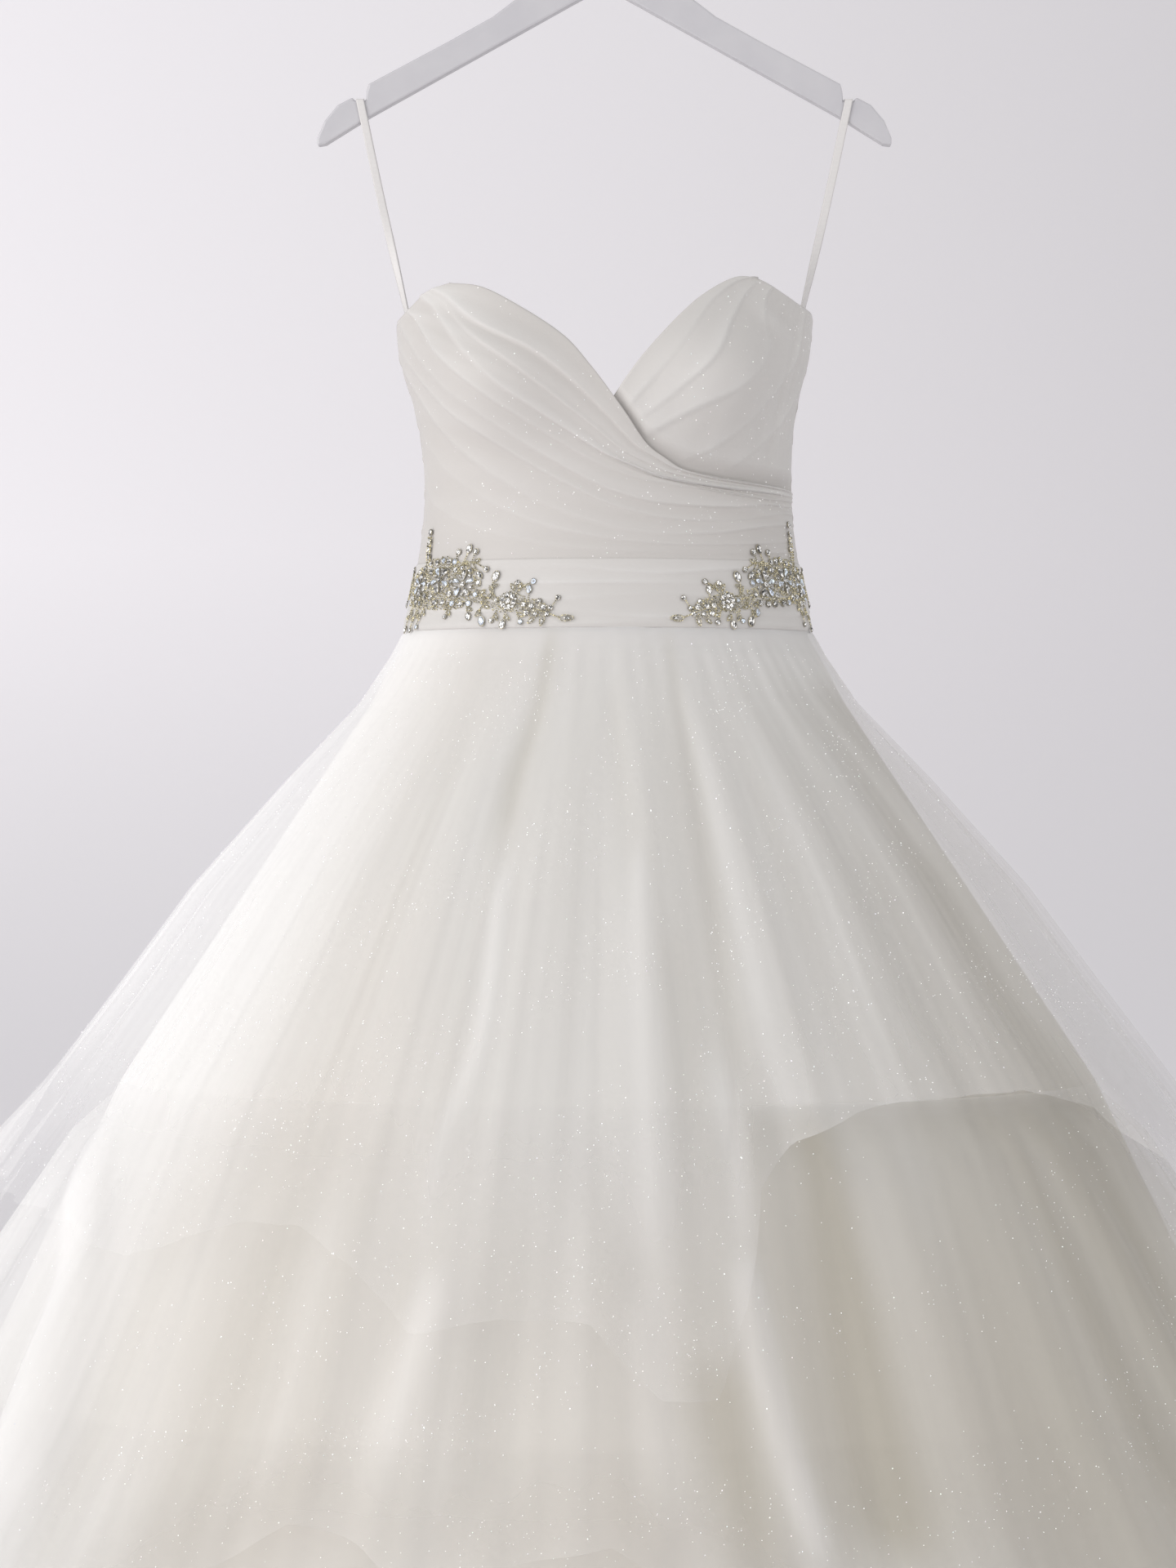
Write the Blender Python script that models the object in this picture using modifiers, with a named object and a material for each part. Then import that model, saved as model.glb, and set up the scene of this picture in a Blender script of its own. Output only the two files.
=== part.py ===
"""A strapless ball gown with a draped sweetheart bodice, beaded hip sprays and a tiered net skirt, hung by its
two ribbon loops from a painted wooden hanger.

Metres, +Z up, the gown's front facing -Y. The origin is the point inside the top of the hanger's hook that bears
on a rod. An angle round the gown is 0 at the centre front and grows towards +X, the wearer's left.
"""

import math
from collections import namedtuple

import bmesh
import bpy
import numpy as np
from mathutils import Matrix, Vector

# Driving sizes
SEAM_GAP = 0.0003
SIDE_SEAM = 0.0005  # from the middle of a side seam to the cloth on each side of it
CLOTH = 0.002  # wall of the boned bodice pieces
NET = 0.0012  # wall of each skirt layer
OUTER = 0.0050  # how far the bodice's outer face stands off the inner form
BAND_TOP = -0.537
BAND_BOTTOM = -0.5865
WAIST_TUCK = 0.010  # how far the skirt layers reach up behind the band
SIDE = math.radians(90.0)
BACK = math.radians(180.0)

# The inner form that the bodice is cut to: half its width and its depth in front of and behind the side seams.
Form = namedtuple("Form", "z half_width front back")
TORSO = (
    Form(-0.600, 0.1545, 0.111, 0.101),
    Form(-0.583, 0.1510, 0.107, 0.097),
    Form(-0.540, 0.1415, 0.099, 0.087),
    Form(-0.502, 0.1360, 0.094, 0.080),
    Form(-0.465, 0.1350, 0.096, 0.080),
    Form(-0.415, 0.1410, 0.103, 0.083),
    Form(-0.378, 0.1510, 0.104, 0.086),
    Form(-0.350, 0.1535, 0.098, 0.084),
    Form(-0.310, 0.1535, 0.088, 0.078),
)
LEAN = 0.0028  # how far the waist and skirt hang towards the wearer's left of the hanger's middle
CUP_ANGLE = math.radians(34.0)
CUP_SPREAD = math.radians(21.0)
CUP_CENTRE_Z = -0.402
CUP_HEIGHT = 0.046
CUP_FULLNESS = 0.024

# The top edge of the front, from the wearer's right side seam to the left one.
Edge = namedtuple("Edge", "angle z")
NECKLINE = (
    Edge(-90.0, -0.3538),
    Edge(-70.0, -0.3450),
    Edge(-58.0, -0.3335),
    Edge(-47.0, -0.3272),
    Edge(-35.0, -0.3320),
    Edge(-22.5, -0.3490),
    Edge(-11.0, -0.3708),
    Edge(-4.0, -0.3930),
    Edge(2.2, -0.4154),
    Edge(11.0, -0.3826),
    Edge(20.0, -0.3550),
    Edge(28.0, -0.3370),
    Edge(38.0, -0.3240),
    Edge(47.0, -0.3245),
    Edge(59.0, -0.3344),
    Edge(70.0, -0.3410),
    Edge(90.0, -0.3460),
)
NOTCH = 8  # the row of NECKLINE at the bottom of the sweetheart
DRAPE_PEAK = 3  # the row where the drape's pleats start
CUP_PEAK = 13  # the row where the cup's side edge starts

# The drape's upper edge where it crosses over the cup, from the notch to the left side seam.
CROSSING = (
    Edge(2.2, -0.4154),
    Edge(5.5, -0.4275),
    Edge(11.6, -0.4498),
    Edge(17.5, -0.4606),
    Edge(24.0, -0.4690),
    Edge(38.0, -0.4750),
    Edge(60.0, -0.4780),
    Edge(90.0, -0.4800),
)
UNDERLAP = 0.012  # how far the cup runs under the drape
TUCK_CLEARANCE = 0.0015
BACK_NECK_DROP = 0.088  # the back's top edge at the zip, below its ends at the side seams

# The skirt layers: outline of each at its fullest, and how deep its folds run in from there.
Ring = namedtuple("Ring", "z half_width front back fold")
LINING = (
    Ring(-0.605, 0.1575, 0.1120, 0.1025, 0.000),
    Ring(-0.640, 0.1660, 0.1270, 0.1190, 0.002),
    Ring(-0.750, 0.2150, 0.1700, 0.1660, 0.004),
    Ring(-0.915, 0.2800, 0.2280, 0.2280, 0.010),
    Ring(-1.250, 0.4100, 0.3250, 0.3350, 0.016),
    Ring(-1.680, 0.5600, 0.4300, 0.4550, 0.024),
)
MIDDLE_SEAM = -0.925  # the underskirt's plain rings, where the two flounces are sewn on
LOWER_SEAM = -1.150
UNDERSKIRT = (
    Ring(-0.605, 0.1615, 0.1160, 0.1070, 0.000),
    Ring(-0.640, 0.1800, 0.1400, 0.1310, 0.000),
    Ring(-0.700, 0.2200, 0.1800, 0.1740, 0.000),
    Ring(MIDDLE_SEAM, 0.3700, 0.3050, 0.3060, 0.000),
    Ring(LOWER_SEAM, 0.4780, 0.3900, 0.4050, 0.000),
    Ring(-1.180, 0.4925, 0.4015, 0.4180, 0.000),
    Ring(-1.400, 0.5900, 0.4750, 0.5050, 0.026),
    Ring(-1.690, 0.6900, 0.5500, 0.5950, 0.040),
)
FLOUNCE_MIDDLE = (
    Ring(-0.965, 0.4080, 0.3360, 0.3390, 0.010),
    Ring(-1.040, 0.4600, 0.3780, 0.3860, 0.026),
    Ring(-1.150, 0.5260, 0.4300, 0.4450, 0.032),
    Ring(-1.280, 0.6200, 0.5080, 0.5320, 0.042),
    Ring(-1.400, 0.6900, 0.5650, 0.5980, 0.048),
)
FLOUNCE_LOWER = (
    Ring(-1.220, 0.5250, 0.4280, 0.4460, 0.010),
    Ring(-1.380, 0.6100, 0.4940, 0.5240, 0.014),
    Ring(-1.550, 0.7150, 0.5760, 0.6140, 0.044),
    Ring(-1.720, 0.8000, 0.6400, 0.6900, 0.062),
)
OVERLAY = (
    Ring(-0.605, 0.1660, 0.1205, 0.1115, 0.0014),
    Ring(-0.640, 0.1900, 0.1500, 0.1410, 0.006),
    Ring(-0.700, 0.2480, 0.2040, 0.1980, 0.020),
    Ring(-0.780, 0.3200, 0.2660, 0.2620, 0.030),
    Ring(-0.850, 0.3720, 0.3100, 0.3080, 0.034),
    Ring(-0.930, 0.4330, 0.3580, 0.3600, 0.030),
    Ring(-1.000, 0.4820, 0.3960, 0.4020, 0.032),
    Ring(-1.100, 0.5480, 0.4470, 0.4590, 0.036),
    Ring(-1.160, 0.5850, 0.4750, 0.4900, 0.038),
)
SEAM_ALLOWANCE = 0.012  # the flat strip at each flounce's top, which lies on the underskirt

# The overlay's hem round the gown: it lifts in a swag over the wearer's left hip.
OVERLAY_HEM = (
    Edge(-180.0, -1.095),
    Edge(-150.0, -1.050),
    Edge(-120.0, -1.090),
    Edge(-90.0, -0.990),
    Edge(-75.0, -0.988),
    Edge(-49.0, -1.012),
    Edge(-44.0, -1.031),
    Edge(-39.0, -1.022),
    Edge(-32.0, -1.002),
    Edge(-26.0, -1.001),
    Edge(-20.5, -1.024),
    Edge(-15.0, -1.069),
    Edge(-8.0, -1.056),
    Edge(-1.4, -1.060),
    Edge(3.3, -1.107),
    Edge(7.5, -1.107),
    Edge(10.5, -1.045),
    Edge(12.5, -0.975),
    Edge(16.4, -0.946),
    Edge(23.0, -0.927),
    Edge(28.0, -0.921),
    Edge(43.0, -0.917),
    Edge(53.0, -0.932),
    Edge(61.0, -1.000),
    Edge(75.0, -1.060),
    Edge(90.0, -1.085),
    Edge(120.0, -1.100),
    Edge(150.0, -1.040),
    Edge(180.0, -1.095),
)
MIDDLE_HEM = (
    Edge(-180.0, -1.365),
    Edge(-135.0, -1.320),
    Edge(-90.0, -1.270),
    Edge(-60.0, -1.310),
    Edge(-40.0, -1.300),
    Edge(-22.0, -1.190),
    Edge(-12.0, -1.225),
    Edge(0.0, -1.200),
    Edge(8.0, -1.250),
    Edge(20.0, -1.340),
    Edge(40.0, -1.375),
    Edge(65.0, -1.330),
    Edge(90.0, -1.300),
    Edge(135.0, -1.370),
    Edge(180.0, -1.365),
)
LOWER_HEM = (
    Edge(-180.0, -1.712),
    Edge(-90.0, -1.695),
    Edge(0.0, -1.690),
    Edge(90.0, -1.697),
    Edge(180.0, -1.712),
)

# The overlay's folds: where each ridge stands, and how deep the valley after it runs, as a share of the layer's.
Fold = namedtuple("Fold", "ridge valley")
OVERLAY_FOLDS = (
    Fold(-174.0, 0.80),
    Fold(-157.0, 0.60),
    Fold(-143.0, 0.95),
    Fold(-127.0, 0.65),
    Fold(-112.0, 0.85),
    Fold(-97.0, 0.55),
    Fold(-80.0, 0.90),
    Fold(-66.0, 0.60),
    Fold(-51.0, 0.80),
    Fold(-36.0, 0.70),
    Fold(-22.5, 1.00),
    Fold(-8.0, 0.55),
    Fold(5.0, 1.00),
    Fold(19.0, 0.75),
    Fold(31.0, 0.55),
    Fold(43.0, 0.85),
    Fold(57.0, 0.60),
    Fold(72.0, 0.95),
    Fold(88.0, 0.60),
    Fold(104.0, 0.80),
    Fold(119.0, 1.00),
    Fold(135.0, 0.60),
    Fold(151.0, 0.85),
    Fold(168.0, 0.65),
)
COLUMNS_PER_FOLD = 4
FLOUNCE_FOLDS = 28
UNDERSKIRT_FOLDS = 14  # half the flounces', so that every second column of a flounce lies on one of these
LINING_FOLDS = 12
FOLD_WANDER = 0.034  # radians that a fold strays from even spacing

# The hip sprays: the upper and lower edge of each, from behind the side seam to its tip at the front.
Station = namedtuple("Station", "angle top bottom")
SPRAY = (
    Station(112.0, -0.5450, -0.5600),
    Station(100.0, -0.5300, -0.5720),
    Station(90.0, -0.5220, -0.5800),
    Station(82.0, -0.5215, -0.5820),
    Station(75.0, -0.5210, -0.5835),
    Station(68.0, -0.5120, -0.5840),
    Station(64.0, -0.5050, -0.5830),
    Station(58.0, -0.5160, -0.5800),
    Station(50.0, -0.5200, -0.5780),
    Station(44.0, -0.5200, -0.5770),
    Station(38.0, -0.5330, -0.5800),
    Station(33.0, -0.5360, -0.5820),
    Station(29.0, -0.5430, -0.5830),
    Station(22.0, -0.5535, -0.5810),
    Station(18.5, -0.5610, -0.5810),
    Station(15.0, -0.5680, -0.5810),
    Station(9.0, -0.5750, -0.5805),
)
SPRAY_TIPS = {"hip_spray_left": 16.6, "hip_spray_right": -9.0}  # the angle of each spray's tip
SPRAY_FACE = OUTER + 0.0050  # its outer face, over the ridges of the band and the drape
SPRAY_WALL = 0.0024

# The hanger: the half outline of its flat wooden body, and its wire hook.
HANGER_THICK = 0.012
HANGER_HALF_OUTLINE = (
    (0.0000, -0.0730),
    (0.0130, -0.0745),
    (0.0300, -0.0790),
    (0.0500, -0.0900),
    (0.0700, -0.1050),
    (0.0850, -0.1165),
    (0.1200, -0.1360),
    (0.1800, -0.1680),
    (0.1815, -0.1735),
    (0.1820, -0.1810),
    (0.1905, -0.1810),
    (0.1920, -0.1780),
    (0.2035, -0.1840),
    (0.2135, -0.1960),
    (0.2190, -0.2090),
    (0.2190, -0.2150),
    (0.2125, -0.2140),
    (0.1780, -0.1925),
    (0.1000, -0.1490),
    (0.0230, -0.1060),
    (0.0100, -0.0990),
    (0.0000, -0.0965),
)
LOOP_REST_X = 0.1863  # the middle of the hanger's notch
LOOP_REST_Z = -0.1810
HOOK_WIRE_RADIUS = 0.002
HOOK_LINE_RADIUS = 0.019
HOOK_CENTRE_Z = -0.017
HOOK_HOLE_DEPTH = 0.018
HOOK_HOLE_CLEARANCE = 0.0003

# The ribbon loops
RIBBON_WIDTH = 0.006
RIBBON_THICK = 0.001
LOOP_END_Z = -0.392
LOOP_ENTRY = (0.1485, -0.352)  # x and z where a loop passes the bodice's top edge
LOOP_END_SPREAD = 0.006  # how far each strand's end lies in front of or behind the side seam

# The zip at the centre back
ZIP_TOP = BACK_NECK_DROP * -1.0 - 0.3560
ZIP_TAPE_WIDTH = 0.024
ZIP_TAPE_THICK = 0.001
SLIDER_WIDTH = 0.0070
SLIDER_DEPTH = 0.0026
SLIDER_HEIGHT = 0.0100
EAR_WIDTH = 0.0010
EAR_DEPTH = 0.0034
EAR_HEIGHT = 0.0030
PIN_RADIUS = 0.0006
PULL_LENGTH = 0.022
PULL_WIDTH = 0.0060
PULL_THICK = 0.0012
PULL_EYE_RADIUS = 0.0019
PULL_EYE_HOLE = 0.0010
PULL_EYE_WIDTH = 0.0036

COLOURS = {
    "ivory_satin": ((0.80, 0.78, 0.72, 1.0), 0.45, 0.0),
    "draped_tulle": ((0.82, 0.81, 0.77, 1.0), 0.60, 0.0),
    "skirt_net": ((0.84, 0.83, 0.80, 1.0), 0.65, 0.0),
    "beading": ((0.72, 0.70, 0.64, 1.0), 0.20, 0.9),
    "hanger_paint": ((0.74, 0.76, 0.78, 1.0), 0.35, 0.0),
    "steel": ((0.70, 0.70, 0.71, 1.0), 0.22, 1.0),
    "ribbon": ((0.86, 0.84, 0.82, 1.0), 0.50, 0.0),
}


def clear_scene():
    for obj in list(bpy.data.objects):
        bpy.data.objects.remove(obj)


def collection_named(name):
    found = bpy.data.collections.new(name)
    bpy.context.scene.collection.children.link(found)
    return found


def material_named(name):
    found = bpy.data.materials.get(name)
    if found is None:
        colour, roughness, metallic = COLOURS[name]
        found = bpy.data.materials.new(name)
        found.use_nodes = True
        shader = found.node_tree.nodes["Principled BSDF"]
        shader.inputs["Base Color"].default_value = colour
        shader.inputs["Roughness"].default_value = roughness
        shader.inputs["Metallic"].default_value = metallic
        found.diffuse_color = colour
    return found


def put(obj, collection, material):
    """Links the object into the collection, gives it its material and shades it smooth."""
    collection.objects.link(obj)
    obj.data.materials.append(material_named(material))
    return obj


# Curves through the tables


def smooth(where, knots, values):
    """Cubic Hermite curve through rising knots, held level past both ends."""
    knots = np.asarray(knots, float)
    values = np.asarray(values, float)
    slopes = np.gradient(values, knots)
    where = np.clip(np.asarray(where, float), knots[0], knots[-1])
    i = np.clip(np.searchsorted(knots, where) - 1, 0, len(knots) - 2)
    step = knots[i + 1] - knots[i]
    t = (where - knots[i]) / step
    return (
        (1 + 2 * t) * (1 - t) ** 2 * values[i]
        + t * (1 - t) ** 2 * step * slopes[i]
        + t**2 * (3 - 2 * t) * values[i + 1]
        + t**2 * (t - 1) * step * slopes[i + 1]
    )


def at_height(table, z, column):
    """One column of a table of sections, at the heights z."""
    rows = sorted(table, key=lambda row: row.z)
    return smooth(z, [row.z for row in rows], [getattr(row, column) for row in rows])


def round_the_gown(edges, angle):
    """The height of an edge given as rows of angle and z, at these angles in radians."""
    return np.interp(np.degrees(angle), [e.angle for e in edges], [e.z for e in edges])


def along(edges, share):
    """(angle, z) at shares of the length of a line given as rows of angle and z."""
    angle = np.radians([e.angle for e in edges])
    z = np.array([e.z for e in edges])
    reach = at_height(TORSO, z, "half_width")
    steps = np.hypot(np.diff(angle) * (reach[1:] + reach[:-1]) / 2, np.diff(z))
    length = np.concatenate([[0.0], np.cumsum(steps)])
    where = np.asarray(share) * length[-1]
    return np.stack([np.interp(where, length, angle), np.interp(where, length, z)], axis=-1)


def spaced(start, end, count):
    """Even steps, with one more close to each end, so that a wall's end faces square across a seam."""
    inner = np.linspace(0.02, 0.98, count - 2)
    return start + (end - start) * np.concatenate([[0.0], inner, [1.0]])


def smoothstep(value, low, high):
    t = np.clip((value - low) / (high - low), 0.0, 1.0)
    return t * t * (3 - 2 * t)


# Surfaces


def oval(table, angle, z, out):
    """Points on the oval that a table of sections has at z, moved out along its normal. The oval's middle leans
    towards the wearer's left from the bust down."""
    angle, z, out = np.broadcast_arrays(angle, z, out)
    half_width = at_height(table, z, "half_width")
    depth = np.where(np.cos(angle) > 0, at_height(table, z, "front"), at_height(table, z, "back"))
    normal = np.stack([np.sin(angle) / half_width, -np.cos(angle) / depth])
    normal = normal / np.hypot(normal[0], normal[1])
    x = half_width * np.sin(angle) + normal[0] * out + LEAN * smoothstep(-z, 0.38, 0.48)
    y = -depth * np.cos(angle) + normal[1] * out
    return np.stack([x, y, z], axis=-1)


def torso(angle, z, out):
    """Points on the bodice's inner form with its two cups, moved out."""
    angle, z, out = np.broadcast_arrays(angle, z, out)
    cups = sum(
        np.exp(-(((angle - side * CUP_ANGLE) / CUP_SPREAD) ** 2) - ((z - CUP_CENTRE_Z) / CUP_HEIGHT) ** 2)
        for side in (-1, 1)
    )
    return oval(TORSO, angle, z, out + CUP_FULLNESS * cups)


def skirt_ring(table, angle, z, valley):
    """Points on a skirt layer: its outline at z, drawn in by the valley share of its fold depth."""
    return oval(table, angle, z, -valley * at_height(table, z, "fold"))


def cloth_wall(name, points, thickness, collection, material, closed=False):
    """A cloth wall from a grid of points on its outer face. Rows run down and columns run round with the angle.
    Solidify grows the wall inwards."""
    rows, columns = points.shape[:2]
    last = columns if closed else columns - 1
    faces = [
        (i * columns + j, (i + 1) * columns + j, (i + 1) * columns + (j + 1) % columns, i * columns + (j + 1) % columns)
        for i in range(rows - 1)
        for j in range(last)
    ]
    mesh = bpy.data.meshes.new(name)
    mesh.from_pydata(points.reshape(-1, 3).tolist(), [], faces)
    mesh.shade_smooth()
    obj = put(bpy.data.objects.new(name, mesh), collection, material)
    wall = obj.modifiers.new("wall", "SOLIDIFY")
    wall.thickness = thickness
    wall.offset = -1.0
    return obj


# Bodice


def coons(top, bottom, left, right, across, down):
    """A grid of (angle, z) filling four edges, each a function of a share from 0 to 1."""
    s, q = np.meshgrid(across, down)
    s, q = s[..., None], q[..., None]
    sides = (1 - s) * left(down)[:, None] + s * right(down)[:, None]
    ends = (1 - q) * top(across)[None] + q * bottom(across)[None]
    corners = (
        (1 - s) * (1 - q) * top(0.0)
        + s * (1 - q) * top(1.0)
        + (1 - s) * q * bottom(0.0)
        + s * q * bottom(1.0)
    )
    return sides + ends - corners


def make_drape(collection):
    """The draped front: pleats fan from the wearer's right cup and side, cross over the left cup and run to the
    left side seam."""
    side = math.degrees(SIDE - SIDE_SEAM / 0.098)
    top_edge = (*NECKLINE[DRAPE_PEAK:NOTCH], *CROSSING[:-1], Edge(side, CROSSING[-1].z))
    left_edge = (*NECKLINE[DRAPE_PEAK:0:-1], Edge(-side, NECKLINE[0].z), Edge(-side, BAND_TOP + SEAM_GAP))
    right_edge = (Edge(side, CROSSING[-1].z), Edge(side, BAND_TOP + SEAM_GAP))
    bottom_edge = (Edge(-side, BAND_TOP + SEAM_GAP), Edge(side, BAND_TOP + SEAM_GAP))
    across = spaced(0, 1, 27)
    down = np.linspace(0, 1, 13)
    edges = [lambda t, e=e: along(e, t) for e in (top_edge, bottom_edge, left_edge, right_edge)]
    grid = coons(*edges, across, down)
    angle, z = grid[..., 0], grid[..., 1]
    ridge_rows = np.arange(len(down)) % 2 == 0
    fade = 1.0 - 0.55 * down
    under_spray = smoothstep(np.abs(angle), math.radians(48), math.radians(60)) * smoothstep(-z, 0.478, 0.495)
    height = 0.0030 - 0.0020 * under_spray
    ridge = np.where(ridge_rows, 1.0, 0.12)[:, None] * fade[:, None] * height
    ridge = ridge * (0.55 + 0.45 * np.sin(math.pi * np.clip(across * 1.1, 0, 1)))[None]
    points = torso(angle, z, OUTER + ridge)
    cloth_wall("bodice_front_drape", points, CLOTH, collection, "draped_tulle")


def make_cup(collection):
    """The wearer's left cup. Its lower edge tucks under the drape."""
    side = math.degrees(SIDE - SIDE_SEAM / 0.098)
    lower = [
        Edge(e.angle - math.degrees(UNDERLAP * 0.55 / 0.14) * (1 - i / 6), e.z - UNDERLAP)
        for i, e in enumerate(CROSSING[:-1])
    ]
    lower.append(Edge(side, CROSSING[-1].z - UNDERLAP))
    upper = (*NECKLINE[CUP_PEAK:-1], Edge(side, NECKLINE[-1].z))
    neck = (lower[0], *NECKLINE[NOTCH : CUP_PEAK + 1])
    foot = (lower[-1], upper[-1])
    across = np.linspace(0, 1, 11)
    down = spaced(0, 1, 14)
    grid = coons(*(lambda t, e=e: along(e, t) for e in (neck, foot, lower, upper)), across, down)
    angle, z = grid[..., 0], grid[..., 1]
    over_crossing = z - round_the_gown(CROSSING, angle)
    tucked = 1 - smoothstep(over_crossing, 0.003, 0.016)
    pleats = 0.0012 * (np.arange(len(down)) % 2) * np.sin(math.pi * down) ** 0.5
    points = torso(angle, z, OUTER - (CLOTH + TUCK_CLEARANCE) * tucked + pleats[:, None] * (1 - tucked))
    cloth_wall("bodice_front_cup", points, CLOTH, collection, "draped_tulle")


def back_neck(angle):
    """The back's top edge: it dips in a soft scoop from each side seam to the zip."""
    share = (np.abs(angle) - SIDE) / (BACK - SIDE)
    start = np.where(angle > 0, NECKLINE[-1].z, NECKLINE[0].z)
    end = ZIP_TOP
    return start + (end - start) * smoothstep(share, 0.0, 1.0) ** 0.8


def make_backs(collection):
    for name, side in (("bodice_back_left", 1), ("bodice_back_right", -1)):
        ends = (SIDE + SIDE_SEAM / 0.083, BACK - SIDE_SEAM / 0.136)
        angle = side * spaced(*(ends if side > 0 else ends[::-1]), 11)
        share = np.linspace(0, 1, 6)[:, None]
        z = back_neck(angle)[None] * (1 - share) + (BAND_TOP + SEAM_GAP) * share
        points = torso(angle[None], z, OUTER)
        cloth_wall(name, points, CLOTH, collection, "draped_tulle")


def make_waistband(collection):
    """The ruched band in three pieces, seamed at the sides and open at the zip."""
    front, back, middle = SIDE_SEAM / 0.103, SIDE_SEAM / 0.092, SIDE_SEAM / 0.146
    spans = {
        "waistband_front": (-SIDE + front, SIDE - front, 25),
        "waistband_back_left": (SIDE + back, BACK - middle, 11),
        "waistband_back_right": (-BACK + middle, -SIDE - back, 11),
    }
    z = np.linspace(BAND_TOP - SEAM_GAP, BAND_BOTTOM, 5)[:, None]
    ruche = np.array([0.0, 0.0009, 0.0001, 0.0009, 0.0])[:, None]
    for name, (start, end, count) in spans.items():
        points = torso(spaced(start, end, count)[None], z, OUTER + ruche)
        cloth_wall(name, points, CLOTH, collection, "draped_tulle")


def make_sprays(collection):
    """The beaded hip sprays, as leafy raised patches that lie on the band and the drape."""
    start, end = SPRAY[0].angle, SPRAY[-1].angle
    share = np.array([(start - s.angle) / (start - end) for s in SPRAY])
    top = np.array([s.top for s in SPRAY])
    bottom = np.array([s.bottom for s in SPRAY])
    down = np.linspace(0, 1, 5)[:, None]
    for name, tip in SPRAY_TIPS.items():
        side = math.copysign(1.0, tip)
        angle = np.radians(side * (start + (abs(tip) - start) * share))
        order = slice(None, None, -int(side))
        points = torso(angle[None], top * (1 - down) + bottom * down, SPRAY_FACE - 0.0006 * (2 * down - 1) ** 2)
        cloth_wall(name, points[:, order], SPRAY_WALL, collection, "beading")


# Skirt


def tucked_rows(angle, out):
    """The two rows of a skirt layer that lie behind the waistband."""
    z = np.array([BAND_BOTTOM + WAIST_TUCK, BAND_BOTTOM - 0.0015])[:, None]
    return torso(angle[None], z, out)


def even_folds(count, phase_shift):
    """(angle, valley) at each column of a layer with this many folds: ridge, slope, valley, slope."""
    phase = np.arange(count * COLUMNS_PER_FOLD) / COLUMNS_PER_FOLD
    turn = 2 * math.pi * phase / count
    angle = turn - BACK + FOLD_WANDER * np.sin(5 * turn + 1.1)
    depth = 0.78 + 0.22 * np.sin(3 * turn + phase_shift)
    return angle, depth * (0.5 - 0.5 * np.cos(2 * math.pi * phase))


def overlay_folds():
    ridges = np.radians([f.ridge for f in OVERLAY_FOLDS] + [OVERLAY_FOLDS[0].ridge + 360.0])
    phase = np.arange(len(OVERLAY_FOLDS) * COLUMNS_PER_FOLD) / COLUMNS_PER_FOLD
    angle = np.interp(phase, np.arange(len(ridges)), ridges)
    depth = np.array([f.valley for f in OVERLAY_FOLDS])[phase.astype(int)]
    return angle, depth * (0.5 - 0.5 * np.cos(2 * math.pi * phase))


def wrapped(angle):
    """Angles brought into one turn from the centre back, for the hem tables."""
    return (np.asarray(angle) + BACK) % (2 * math.pi) - BACK


def hang(table, angle, valley, heights):
    """Rows of a layer at these heights, each a number or one height for each column."""
    z = np.stack([np.broadcast_to(h, angle.shape) for h in heights])
    return skirt_ring(table, angle[None], z, valley[None])


def make_lining(collection):
    angle, valley = even_folds(LINING_FOLDS, 0.7)
    heights = (-0.605, -0.640, -0.750, -0.915, -1.250, -1.680)
    points = np.concatenate([tucked_rows(angle, -0.0032), hang(LINING, angle, valley, heights)])
    cloth_wall("skirt_lining", points, NET, collection, "ivory_satin", closed=True)


def underskirt_points():
    angle, valley = even_folds(UNDERSKIRT_FOLDS, 1.9)
    heights = [ring.z for ring in UNDERSKIRT]
    return np.concatenate([tucked_rows(angle, -0.0008), hang(UNDERSKIRT, angle, valley, heights)])


def make_underskirt(collection):
    cloth_wall("underskirt", underskirt_points(), NET, collection, "skirt_net", closed=True)


def seam_strip(seam_z):
    """Two rows of a flounce that lie on the underskirt's faces just below a seam, at its columns and midway."""
    rows = underskirt_points()
    at = int(np.argmin(np.abs(rows[:, 0, 2] - seam_z)))
    upper, lower = (
        np.stack([row, (row + np.roll(row, -1, axis=0)) / 2], axis=1).reshape(-1, 3) for row in rows[at : at + 2]
    )
    fall = lower - upper
    run = np.roll(upper, -1, axis=0) - np.roll(upper, 1, axis=0)
    normal = np.cross(fall, run)
    normal /= np.linalg.norm(normal, axis=1)[:, None]
    share = SEAM_ALLOWANCE / np.linalg.norm(fall, axis=1)[:, None]
    return np.stack([upper, upper + fall * share]) + normal * (NET + SEAM_GAP)


def make_flounce(name, table, seam_z, hem, count, phase_shift, collection):
    """A gathered tier: its top strip lies on the underskirt below the seam, and the rest hangs in waves."""
    angle, valley = even_folds(FLOUNCE_FOLDS, phase_shift)
    hem_z = round_the_gown(hem, wrapped(angle))
    first = table[0].z
    rows = [first + (hem_z - first) * share for share in np.linspace(0, 1, count)]
    points = np.concatenate([seam_strip(seam_z), hang(table, angle, valley, rows)])
    cloth_wall(name, points, NET, collection, "skirt_net", closed=True)


def make_overlay(collection):
    angle, valley = overlay_folds()
    hem_z = round_the_gown(OVERLAY_HEM, wrapped(angle))
    start = -0.700
    lower = [start + (hem_z - start) * share for share in (0.34, 0.68, 1.0)]
    points = np.concatenate(
        [tucked_rows(angle, 0.0016), hang(OVERLAY, angle, valley, [-0.605, -0.640, start, *lower])]
    )
    cloth_wall("skirt_overlay", points, NET, collection, "skirt_net", closed=True)


# Hanger and loops


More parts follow.
